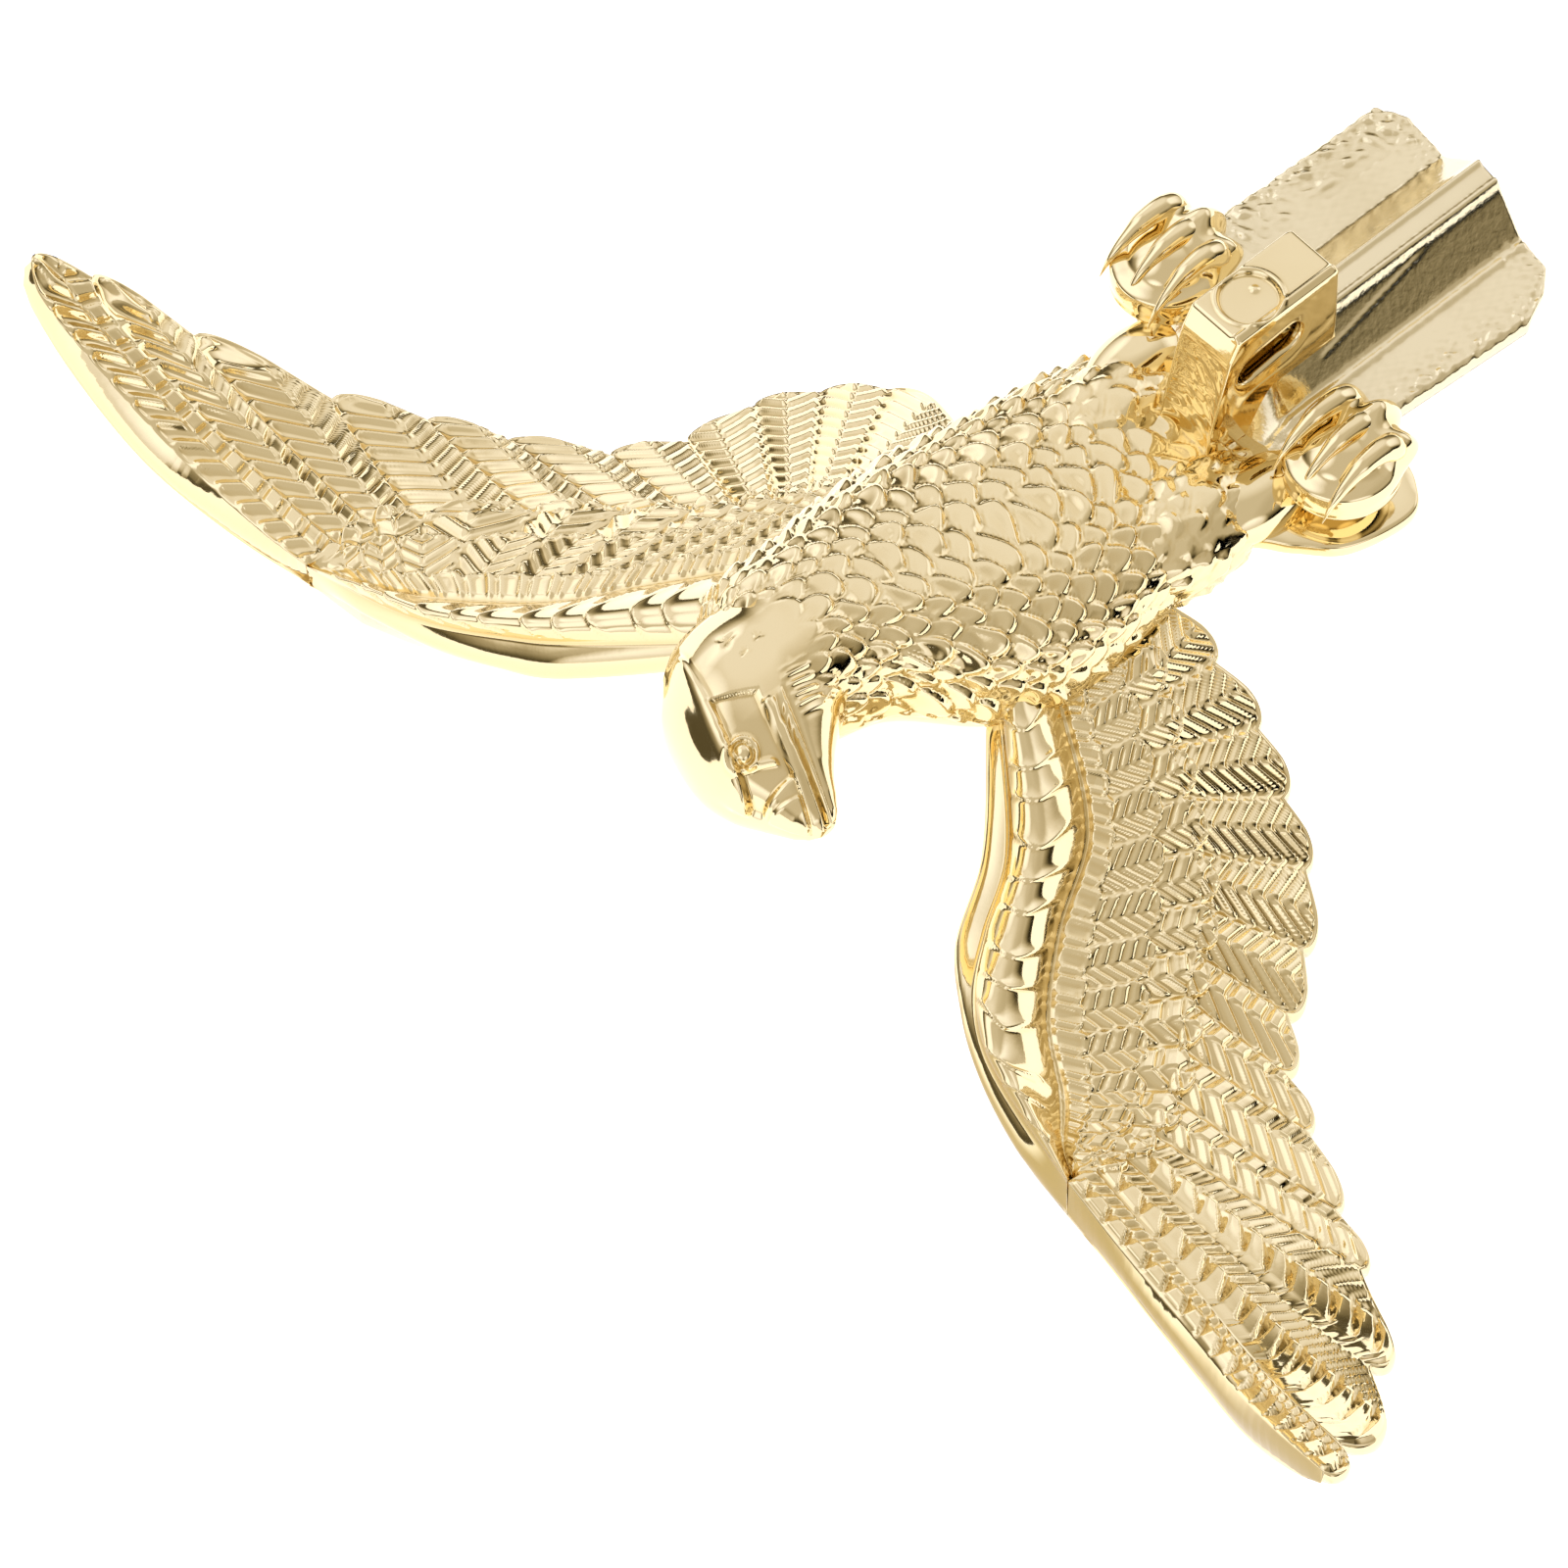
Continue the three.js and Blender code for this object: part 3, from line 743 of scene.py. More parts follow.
    def feather_height(self, feathers: np.ndarray, s: np.ndarray, q: np.ndarray, t: np.ndarray,
                       detail: np.ndarray) -> np.ndarray:
        """Height of the flight feathers and of the three rows of coverts, each over the next.

        From the crease there are ribbed plates, a staggered row and a row in line with the flight
        feathers, both with herringbone.

        Args:
            feathers: The sheet from the crease to the rear edge, columns by rows by 3.
            s: Feather count of each column.
            q: Place of each covert row, from the crease.
            t: Place of each flight row, from the coverts.
            detail: Share of the fine relief in each column.

        Returns:
            Height in millimetres, columns by rows.
        """
        grow = self.grown(s)
        run = travelled(feathers)
        length = run[:, self.covert_rows][:, None]
        past, room = run - length, run[:, -1:] - run
        off_middle = np.abs(2 * np.mod(s, 1.0)[:, None] - 1)
        lift = (self.ridge - (self.ridge + self.valley) * off_middle) * grow
        teeth = float(self.toothed) * (1 - smooth((s - 2.0) / 1.5))[:, None]
        table = np.array(self.barbs, dtype=float).T
        pitch, *sweeps = [np.interp(s, table[0], column)[:, None] for column in table[1:]]
        own = self.vane.relief(*self.feather_frame(feathers, s, 0.0), [pitch, *sweeps], teeth)
        own *= smooth((room - 0.3) / 0.4)
        staggered = self.vane.relief(*self.feather_frame(feathers, s, 0.5), [0.72 * pitch, *sweeps], 0.0)
        plate = np.mod(s[:, None] * self.plates_per_feather + 2.6 * (run / np.maximum(length, 1.0)), 1.0)
        ribs = 0.34 * hump((plate - 0.25) / 0.1) + 0.28 * hump((plate - 0.6) / 0.09)

        def climb(heights: tuple) -> np.ndarray:
            """A height that climbs from the crease over the coverts and holds over the feathers."""
            rise = np.interp(q, (0, 0.2, 0.6, 1), heights)
            return np.concatenate([rise, np.full(self.flight_rows, heights[-1])])[None]

        layer = climb((0, 0.6, 0.7, self.covert_step)) * grow
        near = climb((0, 0.4, 0.8, 1)) * lift
        at_crease = smooth(np.concatenate([q, np.ones(self.flight_rows)]) / 0.05)[None] * detail
        share = np.concatenate([np.zeros(self.covert_rows), t])[None]
        height = lift * (1 - 0.4 * share) + own + self.rim_height * hump((room - 0.12) / 0.25)
        for row, relief in (
            (CovertRow(0.0, 2.1, 1.0, 0.0, 0.0), 0.85 * own),
            (CovertRow(0.42, 1.9, 1.0, 0.5, 0.22), 0.85 * staggered),
            (CovertRow(0.82, 0.7, self.plates_per_feather, 0.0, 0.35), ribs),
        ):
            free_end = row.free_end(s, length, np.minimum(1.0, length / 9.0))
            over = 1 - smooth((past - free_end) / 0.22)
            lip = 0.2 * hump((free_end - past - 0.15) / 0.2)
            height = mix(height, layer + near + (relief + lip + row.raised) * at_crease, over)
        return height

    def arm_marks_relief(self, arm: np.ndarray, p: np.ndarray) -> np.ndarray:
        """Hooked lips across the arm, like the ends of overlapping scales that point to the wing tip.

        The phase is the distance from the wrist over the pitch plus a bow, one less a power of the
        place across. A lip rises at once where the phase is whole and fades toward the root.

        Args:
            arm: The arm's sheet, columns by rows by 3.
            p: Place of each row across the arm.

        Returns:
            Height in millimetres, columns by rows.
        """
        run = travelled(arm[:, len(p) // 2])
        bow = 1 - np.abs(2 * p - 1) ** 1.5
        count = (run / run[-1] * self.arm_marks)[:, None]
        f = np.mod(count + 0.9 * bow[None] + 0.12 * np.sin(2.3 * count), 1.0)
        lips = self.mark_height * smooth(f / 0.07) * np.exp(-f / 0.17)
        return lips * (smooth((p - 0.03) / 0.2) * smooth((0.95 - p) / 0.2))[None]

    def top_sheet(self, s: np.ndarray) -> np.ndarray:
        """The whole upper surface, with the relief of arm and feathers laid on square to it.

        Args:
            s: Feather count of each column.

        Returns:
            Columns by rows by 3.
        """
        detail = smooth((s - 0.25) / 1.1)[:, None]
        p = np.linspace(0.0, 1.0, self.arm_rows, endpoint=False)
        q = np.linspace(0.0, 1.0, self.covert_rows, endpoint=False)
        t = np.linspace(0.0, 1.0, self.flight_rows)
        arm, flight = self.arm(s, p), self.flight(s, t)
        coverts = mix(self.curve(self.crease, s)[:, None], flight[:, :1], q[None, :, None])
        feathers = np.concatenate([coverts, flight], axis=1)
        sheet = np.concatenate([arm, feathers], axis=1)
        normals = surface_normals(sheet)
        normals = unit(normals * np.sign(normals[..., 2:] + TINY) + np.array([0.0, 0.0, 0.004]))
        marks = self.arm_marks_relief(arm, p) * detail
        lifted = np.concatenate([marks, self.feather_height(feathers, s, q, t, detail)], axis=1)
        return sheet + normals * lifted[..., None]

    def under_side(self, s: np.ndarray) -> np.ndarray:
        """The plain back, from the rear edge round to the lower edge of the front wall, held above the
        plane that the casting lies on.

        Args:
            s: Feather count of each column.

        Returns:
            Columns by rows by 3.
        """
        grow = self.grown(s)
        depth, more = 3.2, 1.3
        t = np.linspace(1.0, 0.0, self.flight_rows)[::self.back_step]
        flight = self.flight(s, t)
        flight[..., 2] = np.maximum(flight[..., 2] - self.tip_wall - more * (1 - t), REST_Z)
        crease, covert, outer = (self.curve(k, s) for k in (self.crease, self.coverts, self.outer))

        def sunk(points: np.ndarray, by: np.ndarray | float) -> np.ndarray:
            """Points lowered by a depth, not below the rest plane."""
            low = points.copy()
            low[:, 2] = np.maximum(low[:, 2] - np.ravel(np.broadcast_to(by, (len(s), 1))), REST_Z)
            return low[:, None]

        return np.concatenate([
            flight,
            sunk(covert, depth),
            sunk(crease, depth + more * grow),
            sunk(mix(outer, crease, 0.3), 0.8 + 2.8 * grow),
            outer[:, None],
        ], axis=1)

    def closing(self, rings: np.ndarray, rim_rows: int, forward: np.ndarray) -> np.ndarray:
        """Rings that close the outer part's front wall, from a line along its lower edge to the
        wing's first ring, bulged forward between them.

        Args:
            rings: The wing's rings, columns by rows by 3.
            rim_rows: How many rows round the rear edge.
            forward: The bulge at its fullest.

        Returns:
            The further rings, in the same order of rows.
        """
        last = self.flight_rows - 1
        snapped = np.round(np.arange(self.flight_rows) / self.back_step) * self.back_step
        along = np.concatenate([
            np.zeros(self.arm_rows + self.covert_rows),
            snapped,
            np.full(rim_rows, last),
            np.arange(last, -1, -self.back_step),
        ]) / last
        along = np.concatenate([along, np.zeros(rings.shape[1] - len(along))])
        blend = np.array([0.0, 0.1, 0.25, 0.45, 0.65, 0.82, 0.94])[:, None, None]
        wall = mix(self.curve(self.tip_outer, along)[None], rings[:1], blend)
        return wall + forward * np.sin(math.pi * blend) * np.sin(math.pi * along)[None, :, None]

    def build(self) -> bpy.types.Object:
        """Makes the wing: the upper sheet, a rounded rim, the back and the front wall in rings round the
        section. Along the outer part the rings close on a line, and at the root on a point inside the
        body. The wall is the straight blend between its two edges, bulged forward by the sine of half
        a turn of the share of its height.

        Returns:
            The wing's object.
        """
        per = self.columns_per_feather
        s = np.arange(self.feathers * per + 1) / per
        top, back = self.top_sheet(s), self.under_side(s)
        rim = mix(top[:, -1:], back[:, :1], np.array([0.3, 0.7])[None, :, None])
        rim = rim + unit(top[:, -1:] - top[:, -4:-3]) * self.rim_round
        up_wall = np.linspace(0.15, 0.9, 6)
        forward = np.array([0.0, -self.bulge, 0.0])
        wall = mix(back[:, -1:], top[:, :1], up_wall[None, :, None])
        wall = wall + forward * (np.sin(math.pi * up_wall) * smooth(s / 2.0)[:, None])[..., None]
        rings = np.concatenate([top, rim, back, wall], axis=1)
        root = np.broadcast_to(np.array(self.root), rings[-1:].shape)
        points = np.concatenate([self.closing(rings, rim.shape[1], forward), rings, root])
        piece = grid_object(self.name, points, close_ends=False)
        # Painted shade and reflection on the front wall
        self.paint_wall_shade(piece.data)
        return dress(piece, Skin.FEATHERED)

    def paint_wall_shade(self, mesh: bpy.types.Mesh) -> None:
        """Paints shade on the front wall, a darker gold for the shadow that it reflects: the vertices whose
        normals point forward and neither up nor down."""
        _, y, z = vertex_vectors(mesh, "normal").T
        paint_shade(mesh, self.wall_shade * smooth((-y - 0.6) / 0.25) * smooth((0.6 - np.abs(z)) / 0.25))


LEFT_WING = Wing(
    name="left_wing", side=-1, feathers=11, root=(-7, -12, -7), tip_lobe=0.4,
    barbs=(
        (0, 3.2, 0.55, 0.63), (1.5, 2.7, 0.7, 0.63), (4, 2.6, 0.75, 0.7), (6.5, 2.6, 0.8, 0.75),
        (9, 2.5, 0.8, 0.8), (11, 2.2, 0.8, 0.8),
    ),
    notches=[
        (0, 93.8, -55.4, -4.5), (1, 91.3, -49.9, -9.5), (2, 84.3, -43, -18.7), (3, 73.2, -34.5, -26.2),
        (4, 65.8, -28.1, -28.2), (5, 58.4, -23.7, -28.2), (6, 49.5, -17.6, -27.3), (7, 45.4, -10.5, -27.4),
        (8, 45, -1.9, -28.7), (9, 41.4, 4, -28.1), (10, 35.7, 8.2, -25.6), (11, 22.9, 5.4, -15.2),
    ],
    coverts=[
        (0, 56.5, -51.3, -21.3), (2, 55.9, -43, -22.7), (3, 53.6, -39.1, -22.9), (4, 46.3, -30.4, -22.4),
        (6, 33.6, -20.6, -17.9), (8, 27.1, -15.3, -14.3), (11, 20.8, -8.2, -11.2),
    ],
    crease=[
        (0, 56.3, -51.8, -21.5), (2, 48.5, -48, -21), (4, 41.3, -43.7, -19), (6, 33.7, -38, -16.3),
        (8, 28.5, -31.7, -14.2), (11, 19, -22, -9.5),
    ],
    crest=[
        (0, 56, -52.2, -20.4), (2, 47, -51, -16.5), (4, 40, -49.3, -14.2), (6, 33, -45.5, -11.6),
        (8, 27, -40.8, -8.9), (11, 16, -30, -4),
    ],
    inner=[
        (0, 56, -52.2, -20.4), (2, 46.5, -50.6, -18.5), (4, 39.5, -48.6, -16.4), (6, 32.5, -45.6, -13.8),
        (8, 26, -42.6, -10.6), (11, 13, -33.5, -5),
    ],
    outer=[
        (0, 56, -51.6, -24.6), (2, 48, -50.3, -22.8), (4, 40, -49.3, -20.4), (6, 32.5, -47.3, -17.5),
        (8, 25.6, -44.5, -14.6), (11, 11.5, -33, -8),
    ],
    tip_inner=[
        (0, 56, -52.2, -20.4), (0.2, 63.2, -52.4, -21.3), (0.5, 75.7, -53.2, -19.4),
        (0.8, 86.1, -55.1, -12.4), (0.93, 91.3, -56.4, -6.6), (1, 93.8, -55.4, -4.5),
    ],
    tip_outer=[
        (0, 56, -51.6, -24.6), (0.3, 67.9, -53.3, -25.4), (0.56, 77.7, -55.3, -22.4),
        (0.82, 87.3, -56.6, -15), (0.95, 92.9, -57, -7.6), (1, 94.2, -55.8, -5.4),
    ],
)

RIGHT_WING = Wing(
    # The right wing's front wall carries nearly full painted shade
    name="right_wing", side=1, feathers=13, root=(5, -10, -7), tip_lobe=2.0, toothed=True, wall_shade=0.95,
    barbs=(
        (0, 3.0, 0.6, 0.5), (3, 2.7, 0.65, 0.5), (6, 2.4, 0.9, 0.6), (7.5, 2.0, 1.1, 0.75),
        (9, 1.9, 1.2, 0.8), (13, 1.8, 1.2, 0.8),
    ),
    columns_per_feather=24,
    notches=[
        (0, 91.1, -53.8, -6.4), (1, 88.8, -49.1, -9.7), (2, 81.5, -37.7, -18.4), (3, 70.7, -27.8, -26),
        (4, 63.8, -24.4, -27.3), (5, 55.3, -20.1, -27.8), (6, 49.2, -17.4, -27.2), (7, 44.6, -12.5, -27.3),
        (8, 40.4, -6.3, -27.1), (9, 34.8, -0.7, -25.1), (10, 29.1, 1.5, -20.9), (11, 23.5, 3.1, -16.4),
        (12, 17.4, 2.8, -11.2), (13, 11.1, 2.4, -7.6),
    ],
    coverts=[
        (0, 46.9, -42.8, -19.3), (2, 48.2, -37.6, -20.7), (4, 45.5, -29.8, -21.9), (6, 39, -21.3, -21.4),
        (8, 33, -13.9, -19.3), (10, 25.2, -9.2, -14.3), (13, 13.6, -3.6, -6.5),
    ],
    crease=[
        (0, 47.5, -44, -19.5), (2, 44.2, -42.2, -19.7), (4, 40.5, -38.8, -19), (6, 34.2, -35, -16.8),
        (8, 28.3, -28.2, -14.7), (10, 23, -19.5, -12.4), (13, 12.5, -13.5, -7),
    ],
    crest=[
        (0, 48, -45.2, -17.6), (2, 40.9, -43.8, -14.8), (4, 35.6, -42.1, -13.1), (6, 31.6, -38.4, -11.5),
        (8, 27.3, -31.9, -10.1), (10, 22.1, -25, -7.8), (13, 11.5, -18.4, -3),
    ],
    inner=[
        (0, 48.1, -45.4, -17.7), (2, 40.5, -44.7, -15.7), (4, 33.9, -43.1, -14), (6, 29, -40, -12.8),
        (8, 25, -35, -11.8), (10, 20.6, -27.9, -10.2), (13, 10.6, -19.6, -6),
    ],
    outer=[
        (0, 49, -46.1, -22.2), (2, 41.9, -45.8, -19.9), (4, 35.1, -44.1, -17.6), (6, 29.2, -41.6, -15.3),
        (8, 23.6, -37.5, -13.1), (10, 18.8, -29.7, -11.2), (13, 9.5, -20.5, -8),
    ],
    tip_inner=[
        (0, 48.1, -45.4, -17.7), (0.2, 55.5, -45.9, -19.3), (0.42, 64.9, -46.7, -20.1),
        (0.65, 74.1, -49, -17.7), (0.85, 82.8, -51.8, -11.8), (1, 91.1, -53.8, -6.4),
    ],
    tip_outer=[
        (0, 49, -46.1, -22.2), (0.26, 59.9, -46.8, -23.9), (0.52, 71.3, -48.6, -23.2),
        (0.74, 80.2, -51.6, -18.3), (0.9, 87, -53.4, -12.3), (1, 91.4, -54.4, -7.3),
    ],
)


@dataclass
class Breast:
    """Body from the neck to the root of the tail, with rows of scale feathers."""

    rings: int = 270
    columns: int = 300
    scale_length: float = 2.5
    scale_height: float = 0.95
    scales_round: int = 25
    # How far the rows and the columns of scales wander, in scales
    wander: float = 0.3
    # Place along Y, middle in X, half width, widest height, top and back
    stations: tuple = (
        (-43, -3, 6.5, 3.5, 9.5, -1), (-36, -3.9, 9.4, 2.5, 12, -3.5), (-29, -4, 10.3, 0, 10.8, -7),
        (-21, -2.9, 14, -4, 8.1, -11), (-12, -2, 15.6, -5.5, 5.4, -13.5), (-2, -2, 14.7, -5.5, 3, -14.5),
        (8, -2, 13.5, -5.5, 0.2, -14), (17, -1, 12.8, -5.5, -2.4, -12), (26, 0, 11, -5, -1.6, -8),
        (35, 0, 7, -2.5, 0, -4),
    )

    def scales(self, angle: np.ndarray, y: np.ndarray) -> np.ndarray:
        """Relief of overlapping puffed scales of uneven size, their round free ends toward the tail.

        In each row the free end lies at a whole count of lengths, less a bow: a power of the place
        across the scale. A point belongs to the row nearest the head whose end lies beyond it. The
        height climbs steeply from that end and sinks again toward the head and toward both sides.

        Args:
            angle: Angle round the section, in radians.
            y: Place along the body, in millimetres.

        Returns:
            Height from 0 to 1.
        """
        row = (y + 60) / self.scale_length + self.wander * ripple(angle * 9, y * 0.8, 0 * y, 8.0, 4)
        column = angle / (2 * math.pi) * self.scales_round
        column = column + self.wander * ripple(angle * 11, y, 0 * y, 7.0, 5)
        height = np.zeros_like(row)
        taken = np.zeros(row.shape, dtype=bool)
        for step in range(3):
            r = np.floor(row) + step
            place = column + 0.5 * np.mod(r, 2)
            off = np.abs(place - np.round(place)) * 2
            # A value from -1 to 1 that looks random and belongs to this scale
            own = np.sin(12.9898 * r + 78.233 * np.round(place))
            room = r + 0.9 + 0.14 * own - 0.7 * off ** 2.2 - row
            mine = (room > 0) & ~taken
            puff = smooth(room / 0.3) * (1 - 0.8 * smooth((room - 0.35) / 0.8))
            side = 1 - 0.8 * off ** 2.2
            height = np.where(mine, puff * side * (0.8 + 0.3 * own), height)
            taken |= mine
        return height

    def measures(self, y: np.ndarray) -> list[np.ndarray]:
        """Middle in X, half width, widest height, top and back of the body at y."""
        return read_stations(np.array(self.stations, dtype=float), y)

    def size_at(self, sine: np.ndarray, cosine: np.ndarray, y: np.ndarray) -> np.ndarray:
        """How high the scales stand: not at all on the back and the cheek, and little on the smooth
        flank of the bird's right leg.

        Args:
            sine: Sine of the angle round the section.
            cosine: Its cosine.
            y: Place along the body, in millimetres.

        Returns:
            Height in millimetres.
        """
        fade = smooth((sine + 0.25) / 0.35) * smooth((20 - y) / 4)
        flank = smooth((y + 5) / 4) * smooth((0.62 - sine) / 0.3) * (cosine > 0)
        return self.scale_height * mix(0.7, 1.0, smooth((y + 36) / 16)) * fade * (1 - 0.7 * flank)

    def over(self, x: np.ndarray, y: np.ndarray) -> tuple[np.ndarray, np.ndarray]:
        """The body's upper surface over a place in plan.

        Args:
            x: Place across, in millimetres.
            y: Place along.

        Returns:
            Height of the plain surface, and the relief of the scales on it, both in millimetres.
        """
        middle, half, parting, top, _ = self.measures(y)
        cosine = signed_power(np.clip((x - middle) / half, -1, 1), 1 / FULLNESS)
        sine = np.sqrt(1 - np.square(cosine))
        relief = self.scales(np.arccos(cosine), y) * self.size_at(sine, cosine, y)
        return parting + (top - parting) * sine ** FULLNESS, relief

    def build(self) -> bpy.types.Object:
        """Makes the body: rings across Y, oval above and below the widest line.

        Returns:
            The piece.
        """
        y = np.linspace(self.stations[0][0], self.stations[-1][0], self.rings)[:, None]
        angle = full_turn(self.columns)[None]
        x, half, parting, top, back = (v[:, None] for v in self.measures(y[:, 0]))
        up, across = np.sin(angle), np.cos(angle)
        tall = np.where(up > 0, top - parting, parting - back)
        base = np.stack([
            x + half * signed_power(across, FULLNESS),
            np.broadcast_to(y, (self.rings, self.columns)),
            parting + tall * signed_power(up, np.where(up > 0, FULLNESS, 1.0)),
        ], axis=-1)
        outward = outward_normals(base, np.stack([x, y, parting], axis=-1))
        relief = self.scales(angle + 0 * y, y + 0 * angle) * self.size_at(up, across, y)
        relief = relief * smooth((y + 41) / 4)
        return dress(grid_object("breast", base + outward * relief[..., None]), Skin.FEATHERED)


@dataclass
class Head:
    """Head turned to the bird's right, with brow, eye, mouth and hooked beak."""

    rings: int = 200
    columns: int = 220
    # Place along X, crown and throat in Y, back and face in Z
    stations: tuple = (
        (-11, -43.5, -36, 0, 7.5), (-8.5, -46.4, -33.5, -1.6, 10.6), (-5, -49.6, -31.5, -2.2, 12.8),
        (-1, -51.3, -31, -2, 13.3), (3, -52, -33, -1.4, 12.6), (6.5, -51.3, -37, -0.4, 11.2),
        (9.5, -49.8, -40.4, 1, 9.6), (12, -48.4, -42.4, 2.2, 7.8), (14, -47, -43.8, 3.4, 6.2),
    )
    # Middle of the eye in X and Y, and its radius
    eye: tuple = (5.2, -48.3, 1.15)
    # Three small hollows of the cheek: middle in X and Y, and size
    specks: tuple = ((-4.5, -41.8, 0.5), (-2.2, -41.4, 0.38), (-2.8, -39.2, 0.42))
    # How far the cheek runs out along the neck, and how deep it sinks into it
    hood_length: float = 6.5
    hood_sink: float = 0.25
    # Heights and depths of the relief
    brow_height: float = 0.65
    socket_depth: float = 0.6
    lip_height: float = 0.5
    eye_height: float = 0.8
    lid_height: float = 0.45
    nostril_height: float = 0.45
    cere_height: float = 0.35
    speck_depth: float = 0.28
    beard_height: float = 0.3

    def face(self, x: np.ndarray, y: np.ndarray) -> np.ndarray:
        """Relief of the face: steps and ridges across lines, a ball for the eye, and small marks.

        Args:
            x: Place from the back of the head to the beak, in millimetres.
            y: Place from the crown to the throat.

        Returns:
            Height in millimetres, added along the surface's normal.
        """
        # Signed distances from the lines of the brow, of the cheek's front and of the mouth
        brow = y + 47.64 + 0.345 * x
        cheek = x + 0.4 - 0.63 * (y + 46.5)
        mouth = y + 43.0 + 0.31 * (x - 3.8)
        brow_range = smooth((x + 8) / 2) * smooth((11 - x) / 2.5)
        crest = np.where(brow < 0, hump(brow / 1.4), 1 - smooth(brow / 0.5))
        relief = self.brow_height * crest * brow_range
        socket = smooth(brow / 0.4) * smooth(cheek / 0.3) * smooth((-0.9 - mouth) / 0.3)
        relief -= self.socket_depth * socket * smooth((9.9 - x) / 0.6)
        along = smooth((x - 2.6) / 0.6)
        band = smooth((mouth + 1.1) / 0.25) * smooth((0.35 - mouth) / 0.25)
        wire = hump((mouth - 1.0) / 0.3)
        grooves = hump((mouth - 0.5) / 0.25) + 0.6 * hump((mouth - 1.55) / 0.3)
        relief += (self.lip_height * band + 0.45 * wire - 0.4 * grooves) * along
        ex, ey, radius = self.eye
        reach = np.hypot(x - ex, y - ey)
        relief += self.eye_height * np.sqrt(np.maximum(0, 1 - np.square(reach / (0.8 * radius))))
        relief += self.lid_height * hump((reach - radius * 1.2) / 0.25)
        nostril = hump((x - 7.0 - 0.52 * (y + 47.65)) / 0.4)
        relief += self.nostril_height * nostril * smooth((y + 49) / 0.4) * smooth((-46.0 - y) / 0.4)
        cere = smooth((x - 9.9 - 0.28 * (y + 49.9)) / 0.3)
        relief += self.cere_height * cere * smooth((-1.0 - mouth) / 0.4)
        for sx, sy, size in self.specks:
            turn = np.arctan2(y - sy, x - sx)
            spread = size * (1 + 0.6 * np.cos(3 * turn + sx))
            relief -= self.speck_depth * hump(np.hypot(x - sx, y - sy) / spread)
        beard = smooth((x - 1.2) / 0.6) * smooth((6.2 - x) / 0.8) * smooth((mouth - 2.0) / 0.4)
        strands = hump((np.mod(x / 0.9, 1.0) - 0.5) / 0.2)
        relief += self.beard_height * beard * smooth((5.6 - mouth) / 0.8) * strands
        return relief

    def build(self) -> bpy.types.Object:
        """Makes the head: rings across X, full ovals that on the throat side, short of the beak, run
        out along the neck and sink into it, so that cheek and neck are one surface.

        Returns:
            The piece.
        """
        table = np.array(self.stations, dtype=float)
        x = np.linspace(table[0, 0], table[-1, 0], self.rings)[:, None]
        crown, throat, back, face = (v[:, None] for v in read_stations(table, x[:, 0]))
        angle = full_turn(self.columns)[None]
        cosine, sine = np.cos(angle), np.sin(angle)
        up = signed_power(sine, FULLNESS)
        close = np.sqrt(np.clip((x - x[0]) / 1.2, 0, 1))
        blunt = np.sqrt(np.clip((x[-1] + 0.15 - x) / 0.9, 0, 1))
        size = mix(0.35, 1.0, close * blunt)
        y = (crown + throat) / 2 + (throat - crown) / 2 * signed_power(cosine, FULLNESS) * size
        z = (back + face) / 2 + (face - back) / 2 * up * size
        hood = smooth((6.0 - x) / 5.0) * np.maximum(cosine, 0)
        y = y + self.hood_length * hood * np.maximum(cosine, 0)
        neck, scales = Breast().over(x + 0 * y, y)
        floor = neck - self.hood_sink
        upper = mix(z, mix(mix((back + face) / 2, face, size), floor, smooth(cosine)), smooth(hood / 0.3))
        lower = z + (floor - z) * smooth(hood / 0.3) * smooth(cosine)
        base = np.stack([np.broadcast_to(x, y.shape), y, np.where(sine > 0, upper, lower)], axis=-1)
        outward = outward_normals(base, np.stack([x, (crown + throat) / 2, (back + face) / 2], axis=-1))
        own = self.face(base[..., 0], y) * smooth(up / 0.25)
        laid = smooth((cosine - 0.35) / 0.3) * smooth(hood / 0.4)
        relief = mix(own, scales * (sine > -0.05), laid)
        return dress(grid_object("head", base + outward * relief[..., None]), Skin.POLISHED)


